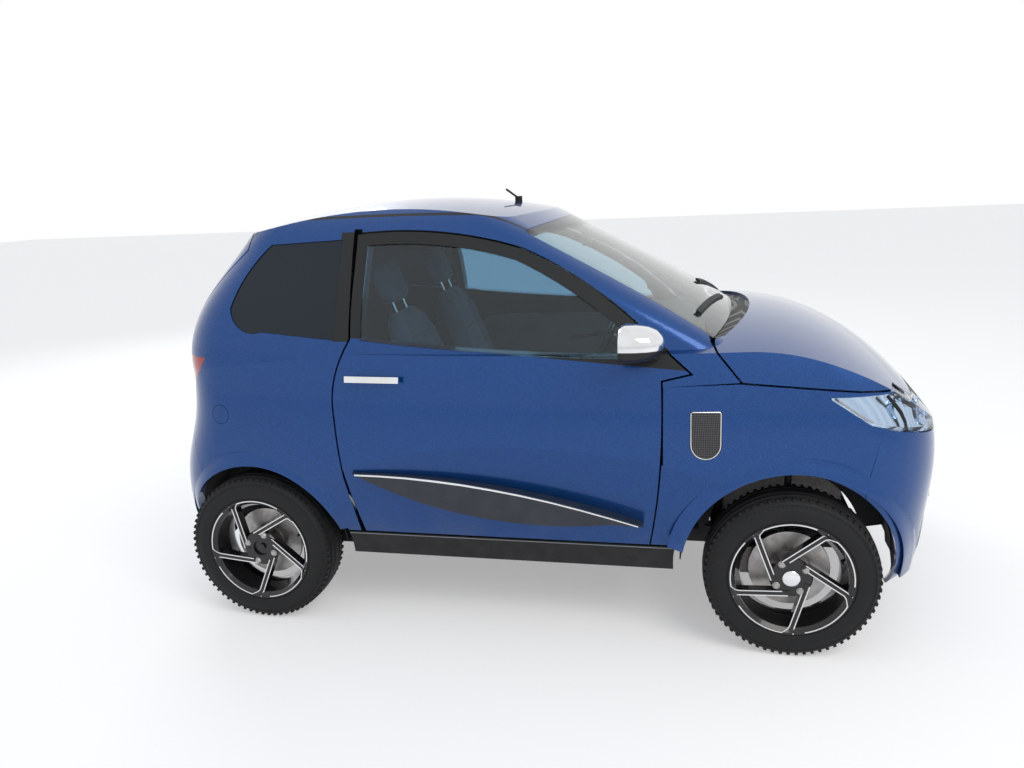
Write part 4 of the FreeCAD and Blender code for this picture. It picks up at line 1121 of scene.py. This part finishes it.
# %% Bright strips on the flanks
STRIP_TOP = (
    (-0.548, 0.5785), (-0.459, 0.5795), (-0.362, 0.5775), (-0.265, 0.5715), (-0.168, 0.5625),
    (-0.072, 0.5495), (0.025, 0.5335), (0.122, 0.5135), (0.219, 0.4895), (0.316, 0.4625), (0.400, 0.4370))
VENT_TOP, VENT_FOOT, VENT_REAR, VENT_FRONT = 0.8115, 0.6605, 0.5580, 0.6530
for side, sign in SIDES.items():
    moulding = caster("door_trim_" + side)
    path = [outer_point(moulding, x, z - 0.003, sign, 0.0006) for x, z in STRIP_TOP]
    path = [point for point in path if point]
    widths = [0.0085 - 0.006 * abs(i / (len(path) - 1) - 0.35) for i in range(len(path))]
    strip = bmesh.new()
    ribbon(strip, path, widths, (0, sign, 0), 0.0035)
    piece("moulding_strip_" + side, strip, chrome, "door_" + side)

    vents = caster("side_vents")
    middle, half = (VENT_REAR + VENT_FRONT) / 2, (VENT_FRONT - VENT_REAR) / 2
    foot = VENT_FOOT + half
    rim_line = [(VENT_REAR + 0.002, VENT_TOP - 0.003), (VENT_REAR + 0.006, VENT_TOP),
                (VENT_FRONT - 0.006, VENT_TOP), (VENT_FRONT - 0.002, VENT_TOP - 0.003)]
    for step in range(17):
        round_foot = polar(half - 0.002, -math.pi * step / 16)
        rim_line.append((middle + round_foot.x, foot + round_foot.y))
    rim_path = [outer_point(vents, middle + (x - middle) * 0.97, foot + (z - foot) * 0.985, sign, 0.001)
                for x, z in rim_line]
    rim = bmesh.new()
    tube(rim, [point for point in rim_path if point], 0.0017, 8, closed=True)
    piece("vent_rim_" + side, rim, machined, "body_shell")
print("strips and vent rims fitted")

# %% [markdown]
# A mirror is an oval shell on a short foot. Its upper half is a chromed cap, and the pane lies a little
# inside its rear rim. A subdivided box could be shaped by hand, but a skin through a few ovals gives the
# same egg with its sizes written down.

# %% Door mirrors
MIRROR_Y, MIRROR_Z = 0.806, 1.040
SHELL = (
    (0.362, 0.078, 0.046), (0.356, 0.083, 0.051), (0.358, 0.086, 0.0535), (0.372, 0.087, 0.0545),
    (0.405, 0.085, 0.053), (0.438, 0.077, 0.047), (0.462, 0.062, 0.037), (0.478, 0.038, 0.022),
    (0.484, 0.014, 0.008))
PANE = ((0.3605, 0.076, 0.044), (0.3590, 0.076, 0.044), (0.3585, 0.074, 0.042))
FOOT = (
    ((0.400, 0.686, 0.958), (0.470, 0.684, 0.952), (0.462, 0.682, 0.985), (0.405, 0.684, 0.990)),
    ((0.392, 0.720, 0.972), (0.452, 0.720, 0.968), (0.448, 0.720, 0.996), (0.396, 0.720, 1.000)),
    ((0.384, 0.765, 0.986), (0.436, 0.765, 0.984), (0.434, 0.765, 1.004), (0.386, 0.765, 1.006)))


def mirror_ovals(sections, sign):
    """Ovals across the car, each at its own x and with its own half width and height."""
    return [[(x, sign * (MIRROR_Y + wide * a), MIRROR_Z + tall * b) for a, b in oval_points(48, 2.5)]
            for x, wide, tall in sections]


for side, sign in SIDES.items():
    shell = bmesh.new()
    loft(shell, mirror_ovals(SHELL, sign))
    made = piece("mirror_shell_" + side, shell, mirror_finish, "door_" + side, smooth=60)
    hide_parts("mirror_" + side)
    foot = bmesh.new()
    loft(foot, [[(x, sign * y, z) for x, y, z in ring] for ring in FOOT])
    piece("mirror_foot_" + side, foot, black_plastic, "door_" + side, bevel=0.006)
    pane = bmesh.new()
    loft(pane, mirror_ovals(PANE, sign))
    piece("mirror_pane_" + side, pane, chrome, "door_" + side)
print("mirrors hung")

# %% [markdown]
# Each headlamp has two bright bowls behind its clear lens, with a glass bulb in each, a dark bar between
# them and a bright strip along the lower rear edge. The housing behind them has the lens's own shape, so
# it is a copy of the lens pushed inwards and given a wall.

# %% Headlamp insides
BOWLS = (((1.206, 0.520, 0.768), 0.045, 0.040), ((1.130, 0.600, 0.800), 0.034, 0.032))
BULB = ((0.004, 0.0), (0.0065, 0.004), (0.0065, 0.018), (0.005, 0.023), (0.0015, 0.0255))
BOWL_WALL, LAMP_DEPTH, BACKING_WALL = 0.0012, 0.030, 0.0015
DIVIDER = ((1.128, 0.655, 0.848), (1.150, 0.648, 0.822), (1.170, 0.640, 0.795), (1.184, 0.634, 0.765),
           (1.190, 0.630, 0.736))
LAMP_STRIP = ((0.985, 0.842), (1.005, 0.826), (1.026, 0.810), (1.048, 0.794), (1.068, 0.780), (1.088, 0.771))


def make_backing(sign):
    """The outward faces of one lens, pushed inwards along their normals."""
    backing = bmesh.new()
    backing.from_mesh(nodes["headlamps"].data)
    bmesh.ops.remove_doubles(backing, verts=backing.verts, dist=0.0002)
    outward = Vector((0.72, 0.66 * sign, 0.2))
    drop = [face for face in backing.faces
            if face.normal.dot(outward) < 0.35 or face.calc_center_median().y * sign < 0]
    bmesh.ops.delete(backing, geom=drop, context="FACES")
    backing.normal_update()
    for vertex in backing.verts:
        vertex.co -= vertex.normal * LAMP_DEPTH
    bmesh.ops.solidify(backing, geom=backing.faces[:], thickness=BACKING_WALL)
    return backing


lens = caster("headlamps")
for side, sign in SIDES.items():
    bowls, bulbs = bmesh.new(), bmesh.new()
    for (x, y, z), mouth, depth in BOWLS:
        setting = aimed((x, y * sign, z), Vector((1, 0.35 * sign, 0.08)).normalized())
        inner = [(mouth * t, depth * t * t) for t in (0.12, 0.3, 0.5, 0.7, 0.85, 1.0)]
        outer = [(r + BOWL_WALL, h) for r, h in inner[::-1]]
        bowl = bmesh.new()
        turned(bowl, inner + outer, 40, closed=True)
        join(bowls, bowl, setting)
        bulb = bmesh.new()
        turned(bulb, BULB, 20)
        join(bulbs, bulb, setting)
    piece("lamp_bowls_" + side, bowls, reflector, "body_shell")
    piece("lamp_backing_" + side, make_backing(sign), reflector, "body_shell")
    piece("lamp_bulbs_" + side, bulbs, white_plastic, "body_shell")

    divider = bmesh.new()
    tube(divider, [(x, y * sign, z) for x, y, z in DIVIDER], 0.0055, 10)
    piece("lamp_divider_" + side, divider, black_plastic, "body_shell")
    glow = bmesh.new()
    path = [outer_point(lens, x, z, sign, -0.010) for x, z in LAMP_STRIP]
    tube(glow, [point for point in path if point], 0.0032, 8)
    piece("lamp_strip_" + side, glow, white_plastic, "body_shell")
print("headlamp insides set")

# %% [markdown]
# A seat pad is foam under cloth, with side bolsters and stitched channels. A closed form a little smaller
# than the finished pad is drawn first. It could be used as it is, but cloth over foam is never so even.

# %% The forms of the pads
SEAT_MIDDLE, LEAN = 0.300, math.radians(20)
BACK_FOOT, BASE_REAR, BASE_HEIGHT = Vector((-0.285, 0, 0.505)), -0.300, 0.468
BACK_UP = Vector((-math.sin(LEAN), 0, math.cos(LEAN)))
BACK_FRONT = Vector((math.cos(LEAN), 0, math.sin(LEAN)))
BOLSTER, BOLSTER_BLEND = 0.135, 0.045


def back_frame(along, across, outward):
    """From up along a backrest, across it and out of its front to the car's frame."""
    return BACK_FOOT + BACK_UP * along + BACK_FRONT * outward + Vector((0, across, 0))


def back_local(point):
    gap = point - BACK_FOOT
    return gap.dot(BACK_UP), point.y, gap.dot(BACK_FRONT)


def head_frame(along, across, outward):
    return back_frame(0.640 + along, across, outward - 0.008)


def base_frame(along, across, outward):
    """The cushion's own frame, which rises a little towards the knees."""
    return Vector((BASE_REAR + along, across, BASE_HEIGHT + outward + 0.02 * along / 0.44))


def base_local(point):
    return point.x - BASE_REAR, point.y, point.z - BASE_HEIGHT


def pad_form(frame_of, length, width_at, depth_at, hollow, steps=22, around=48):
    """A pad along its length, hollow between its bolsters."""
    rings = []
    for step in range(steps + 1):
        share = step / steps
        end = (1 - abs(2 * min(max(share, 0.012), 0.988) - 1) ** 5) ** 0.2
        ring = []
        for across, outward in oval_points(around, 3.2):
            side = across * width_at(share) / 2 * end
            rise = outward * depth_at(share) / 2 * end
            if outward > 0:
                sink = min(max((BOLSTER - abs(side)) / BOLSTER_BLEND, 0), 1)
                rise -= hollow * sink * sink * (3 - 2 * sink) * outward * end
            ring.append(frame_of(share * length, side, rise))
        rings.append(ring)
    mesh = bmesh.new()
    loft(mesh, rings)
    return mesh


print("pad forms ready")

# %% [markdown]
# The form's skin is remeshed into even faces and blown up by a few millimetres of pressure, as stuffed
# cloth is. The swelling is capped, so that the pad keeps its shape. The seams are pressed in afterwards,
# because the remesh would lose them.

# %% Stuffing the pads
PAD_VOXEL, SWELL, PRESSURE, LAST_FRAME = 0.007, 0.010, 4, 20
SEAM_DEPTH = SEAM_REACH = 0.0045


def apply_all(made):
    """Keeps what the modifiers make, as a plain mesh."""
    grown = made.evaluated_get(bpy.context.evaluated_depsgraph_get())
    data = bpy.data.meshes.new_from_object(grown)
    made.modifiers.clear()
    made.data = data


def stuffed(name, mesh):
    """Remeshes a pad and lets pressure swell it, capped so that it keeps its form."""
    made = scratch(name, mesh)
    skin = made.modifiers.new("skin", "REMESH")
    skin.mode = "VOXEL"
    skin.voxel_size = PAD_VOXEL
    apply_all(made)
    before = [vertex.co.copy() for vertex in made.data.vertices]
    cloth = made.modifiers.new("cloth", "CLOTH")
    cloth.settings.use_pressure = True
    cloth.settings.uniform_pressure_force = PRESSURE
    cloth.settings.effector_weights.gravity = 0
    cloth.point_cache.frame_start = 1
    cloth.point_cache.frame_end = LAST_FRAME
    for moment in range(1, LAST_FRAME + 1):
        bpy.context.scene.frame_set(moment)
    apply_all(made)
    for vertex, old in zip(made.data.vertices, before):
        move = vertex.co - old
        if move.length > SWELL:
            vertex.co = old + move * (SWELL / move.length)
    bpy.context.scene.frame_set(1)
    finer = made.modifiers.new("finer", "SUBSURF")
    finer.levels = finer.render_levels = 1
    apply_all(made)
    return made


def press_seams(made, inverse, seams):
    """Presses seams into the front of a pad. Each seam says how far a local point is from it."""
    for vertex in made.data.vertices:
        along, across, outward = inverse(vertex.co)
        if outward > -0.004:
            near = min(seam(along, across) for seam in seams)
            if near < 3 * SEAM_REACH:
                vertex.co -= vertex.normal * SEAM_DEPTH * math.exp(-(near / SEAM_REACH) ** 2)


def channels(places, half_width):
    """Seams across a pad. Each runs at one place along it, between its bolsters."""
    return [lambda a, c, row=row: math.hypot(a - row, max(abs(c) - half_width, 0)) for row in places]


back_form = pad_form(back_frame, 0.610, lambda t: 0.405 - 0.07 * t * t, lambda t: 0.100 - 0.02 * t, 0.020)
base_form = pad_form(base_frame, 0.440, lambda t: 0.405 + 0.01 * t, lambda t: 0.098, 0.018)
head_form = pad_form(head_frame, 0.150, lambda t: 0.220 - 0.03 * t, lambda t: 0.070, 0.0, 14, 32)
pads = {"backrest": stuffed("backrest", back_form), "cushion": stuffed("cushion", base_form),
        "headrest": stuffed("headrest", head_form)}
press_seams(pads["backrest"], back_local,
            [lambda a, c: abs(abs(c) - 0.128 + 0.03 * (a / 0.6) ** 2)]
            + channels((0.14, 0.23, 0.32, 0.41, 0.50), 0.105))
press_seams(pads["cushion"], base_local,
            [lambda a, c: abs(abs(c) - 0.132)] + channels((0.14, 0.23, 0.32), 0.115))
print("pads:", {name: len(pad.data.polygons) for name, pad in pads.items()})

# %% [markdown]
# The same pads serve both seats. Under them stand a plastic base, the rods that carry the back, two
# chrome posts for the headrest and the dial that leans the back. All this is hard, so it is drawn plainly.

# %% Seats in the car
BASE_STEPS = ((0.287, 0.0), (0.300, 0.0), (0.330, 0.03), (0.405, 0.02), (0.425, -0.01))
for side, sign in SIDES.items():
    middle = sign * SEAT_MIDDLE
    for name, pad in pads.items():
        shape = bmesh.new()
        shape.from_mesh(pad.data)
        bmesh.ops.translate(shape, vec=(0, middle, 0), verts=shape.verts)
        made = piece(f"seat_{name}_{side}", shape, seat_cloth, "body_shell", smooth=80)
        if name == "cushion":
            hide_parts("seat_" + side)
    base = bmesh.new()
    loft(base, [[(-0.30 + d, middle - 0.155 + d, z), (0.07 - d, middle - 0.155 + d, z),
                 (0.07 - d, middle + 0.155 - d, z), (-0.30 + d, middle + 0.155 - d, z)]
                for z, d in BASE_STEPS])
    for edge in (-0.185, 0.185):
        rod = [(x, middle + edge, z) for x, z in ((-0.315, 0.455), (-0.338, 0.520), (-0.358, 0.585))]
        tube(base, rod, 0.014, 12)
    piece("seat_base_" + side, base, black_plastic, "body_shell", bevel=0.004)
    posts = bmesh.new()
    for edge in (-0.055, 0.055):
        tube(posts, [back_frame(along, middle + edge, -0.006) for along in (0.585, 0.62, 0.66)], 0.0055, 12)
    piece("headrest_posts_" + side, posts, chrome, "body_shell")
    dial = bmesh.new()
    turned(dial, [(0.030, 0), (0.030, 0.008), (0.026, 0.014), (0.010, 0.016)], 24)
    setting = aimed((-0.325, middle + sign * 0.196, 0.500), (0, sign, 0))
    bmesh.ops.transform(dial, matrix=setting, verts=dial.verts)
    piece("recliner_dial_" + side, dial, black_plastic, "body_shell")
print("seats set")

# %% [markdown]
# The cabin gets what one sees through the glass. The dashboard carries a hood with two blank dials, and
# four air vents whose slats grow along a line. No dial has a figure, because the real ones can't be read.

# %% Dials and air vents
DRIVER, HOOD_FOOT, HOOD_TOP = 0.300, 0.905, 0.990
HOOD = ((0.305, 0.006, 0.135), (0.315, 0.0, 0.150), (0.400, 0.004, 0.165), (0.480, 0.022, 0.175))
VENT_X, VENT_Z = 0.316, 0.875
rings = []
for x, drop, wide in HOOD:
    rise = HOOD_TOP - drop - HOOD_FOOT
    angles = [math.pi * step / 16 for step in range(17)]
    rings.append([(x, DRIVER + wide * math.cos(a), HOOD_FOOT + rise * math.sin(a) ** 0.6) for a in angles])
hood = bmesh.new()
loft(hood, rings)
piece("gauge_hood", hood, trim, "body_shell", bevel=0.003)
dials = bmesh.new()
for offset, wide in ((-0.055, 0.034), (0.045, 0.042)):
    dial = bmesh.new()
    turned(dial, [(wide, 0), (wide, 0.006), (wide - 0.003, 0.008), (wide - 0.004, 0.004), (0.004, 0.004)], 32)
    join(dials, dial, aimed((0.306, DRIVER + offset, 0.945), (-1, 0, 0.25)))
piece("gauges", dials, gloss_black, "body_shell")

slat = bmesh.new()
block(slat, (-0.0012, -0.030, -0.0008), (0.0012, 0.030, 0.0008), 0.3)
slat_source = scratch("slat", slat)
vents = bmesh.new()
for y in (-0.580, -0.075, 0.075, 0.580):
    ring = [(VENT_X, y + 0.034 * a, VENT_Z + 0.026 * b) for a, b in oval_points(32, 5)]
    tube(vents, ring, 0.0035, 8, closed=True)
    rail = bmesh.new()
    rail.edges.new([rail.verts.new((VENT_X + 0.002, y, VENT_Z + height)) for height in (-0.018, 0.018)])
    line_source = scratch("rail", rail)
    vents.from_mesh(line_tree.grow(line_source, {"Copy": slat_source, "Step": 0.009,
                                                 "Material": black_plastic.material}))
    bpy.data.objects.remove(line_source)
piece("air_vents", vents, black_plastic, "body_shell")
print("dials and vents set")

# %% [markdown]
# Under the dashboard a console stands between the seats, with three knobs, a blank panel and a gear lever.
# It is barely seen, so blocks with eased edges are enough.

# %% Console
console = bmesh.new()
block(console, (0.300, -0.095, 0.690), (0.345, 0.095, 0.835), 0.15)
block(console, (0.030, -0.070, 0.292), (0.360, 0.070, 0.420), 0.12)
piece("console", console, trim, "body_shell", bevel=0.004)
controls = bmesh.new()
for y in (-0.055, 0.0, 0.055):
    knob = bmesh.new()
    turned(knob, [(0.016, 0), (0.0155, 0.012), (0.013, 0.015), (0.004, 0.0155)], 24)
    join(controls, knob, aimed((0.301, y, 0.725), (-1, 0, 0)))
block(controls, (0.294, -0.080, 0.760), (0.301, 0.080, 0.820), 0.2)
tube(controls, [(0.150, 0, 0.415), (0.146, 0, 0.470), (0.138, 0, 0.520)], 0.006, 12)
grip = bmesh.new()
turned(grip, [(0.006, -0.02), (0.016, -0.008), (0.019, 0.008), (0.015, 0.022), (0.004, 0.028)], 24)
join(controls, grip, Matrix.Translation((0.137, 0, 0.535)))
piece("console_controls", controls, gloss_black, "body_shell", bevel=0.001)
print("console set")

# %% [markdown]
# Each door has a card inside, with an armrest and a pull. The door's inner face is curved, so rays from
# the cabin find where the card lies.

# %% Door cards
CARD_REAR, CARD_FRONT, CARD_FOOT, CARD_TOP, CARD_THICK = -0.46, 0.36, 0.42, 0.90, 0.010
PULL = ((-0.02, 0.004, 0.765), (0.00, 0.030, 0.775), (0.08, 0.034, 0.790), (0.16, 0.030, 0.800),
        (0.18, 0.004, 0.805))


def inner_point(shape, x, z, sign, lift=0.0):
    """Where a ray from the middle of the cabin meets a door."""
    hit = shape.ray_cast(Vector((x, 0, z)), Vector((0, sign, 0)))[0]
    return hit - Vector((0, sign * lift, 0))


for side, sign in SIDES.items():
    door_shape = caster("door_" + side)
    rows = []
    for lift, inset in ((0.001, 1.0), (CARD_THICK, 0.97)):
        wide, tall = (CARD_FRONT - CARD_REAR) / 2 * inset, (CARD_TOP - CARD_FOOT) / 2 * inset
        places = [((CARD_REAR + CARD_FRONT) / 2 + wide * a, (CARD_FOOT + CARD_TOP) / 2 + tall * b)
                  for a, b in oval_points(48, 7)]
        rows.append([inner_point(door_shape, x, z, sign, lift) for x, z in places])
    card = bmesh.new()
    loft(card, rows)
    deep = abs(inner_point(door_shape, -0.05, 0.66, sign).y)
    low, high = sorted((sign * deep, sign * (deep - 0.055)))
    block(card, (-0.32, low, 0.640), (0.16, high, 0.685), 0.35)
    piece("door_card_" + side, card, trim, "door_" + side, bevel=0.003)
    pull = bmesh.new()
    tube(pull, [(x, sign * (deep - inward), z) for x, inward, z in PULL], 0.008, 12)
    piece("door_pull_" + side, pull, black_plastic, "door_" + side)
print("door cards set")

# %% [markdown]
# The cabin mirror hangs on a short stalk from the top of the windscreen. It is a squared-off oval, so the
# same rings serve as for the vents.

# %% Cabin mirror
MIRROR_STEPS = ((-0.008, 0.94), (-0.006, 1.0), (0.004, 0.97), (0.012, 0.80))
mirror = bmesh.new()
loft(mirror, [[(0.165 + x, 0.095 * a * k, 1.292 + 0.028 * b * k) for a, b in oval_points(40, 4)]
              for x, k in MIRROR_STEPS])
tube(mirror, [(0.172, 0, 1.298), (0.172, 0, 1.318), (0.168, 0, 1.330)], 0.006, 10)
piece("cabin_mirror", mirror, black_plastic, "body_shell")
for source in (lug_source, rib_source, bolt_source, slat_source, slot_source, bare, *pads.values()):
    bpy.data.objects.remove(source)
print("cabin mirror hung, and the helper shapes removed")

# %% [markdown]
# The floor is pale and plain. A brighter world would bleach the car, so rays that come from the camera,
# from gloss and through glass see a white sky and a paler floor, while the light that falls on the car is
# weaker. Its colours then come out about as they are written.

# %% Floor, sky and lamps
FLOOR_HALF, FLOOR_PALER, SKY_LIGHT = 30, 0.36, 0.62
corners = [(-FLOOR_HALF, -FLOOR_HALF, 0), (FLOOR_HALF, -FLOOR_HALF, 0), (FLOOR_HALF, FLOOR_HALF, 0),
           (-FLOOR_HALF, FLOOR_HALF, 0)]
floor_mesh = bpy.data.meshes.new("floor")
floor_mesh.from_pydata(corners, [], [(0, 1, 2, 3)])
floor = bpy.data.objects.new("floor", floor_mesh)
bpy.context.scene.collection.objects.link(floor)


def seen_rays(owner):
    """One for rays from the camera, from gloss and through glass, and nought for the light on the car."""
    rays = [owner.add("ShaderNodeLightPath", {}, {}, kind)
            for kind in ("Is Camera Ray", "Is Glossy Ray", "Is Transmission Ray")]
    return (rays[0] + rays[1] + rays[2]).math("MINIMUM", 1.0)


floor_finish = Finish("floor_finish", base_color=(0.80, 0.80, 0.80), roughness=0.9, specular_ior_level=0.1)
matt = Wire(floor_finish, floor_finish.shader.outputs[0])
paler = floor_finish.add("ShaderNodeEmission", {}, {"Color": (1.0, 1.0, 1.0), "Strength": FLOOR_PALER})
both = floor_finish.add("ShaderNodeAddShader", {}, {0: matt, 1: paler})
seen_floor = floor_finish.add("ShaderNodeMixShader", {}, {0: seen_rays(floor_finish), 1: matt, 2: both})
floor_finish.feed(floor_finish.tree.nodes["Material Output"].inputs["Surface"], seen_floor)
floor_mesh.materials.append(floor_finish.material)

bpy.context.scene.view_settings.view_transform = "Standard"
world = bpy.data.worlds.new("sky")
world.use_nodes = True
bpy.context.scene.world = world
sky = Tree(world.node_tree)
sky.tree.nodes.clear()
lighting = sky.add("ShaderNodeBackground", {}, {"Color": (0.93, 0.96, 1.0), "Strength": SKY_LIGHT})
white = sky.add("ShaderNodeBackground", {}, {"Color": (1.0, 1.0, 1.0), "Strength": 1.0})
seen_sky = sky.add("ShaderNodeMixShader", {}, {0: seen_rays(sky), 1: lighting, 2: white})
sky.feed(sky.tree.nodes.new("ShaderNodeOutputWorld").inputs["Surface"], seen_sky)


def area_lamp(name, place, target, width, watts, colour):
    data = bpy.data.lights.new(name, "AREA")
    data.size = width
    data.energy = watts
    data.color = colour
    lamp = bpy.data.objects.new(name, data)
    bpy.context.scene.collection.objects.link(lamp)
    lamp.location = place
    lamp.rotation_euler = (Vector(target) - Vector(place)).to_track_quat("-Z", "Y").to_euler()


area_lamp("key_lamp", (3.4, -3.6, 4.6), (0, 0, 0.6), 3.0, 120, (1.0, 0.98, 0.95))
area_lamp("back_lamp", (-3.5, 4.0, 4.0), (0, 0, 0.6), 3.0, 90, (0.95, 0.98, 1.0))
print("floor, sky and lamps stand")
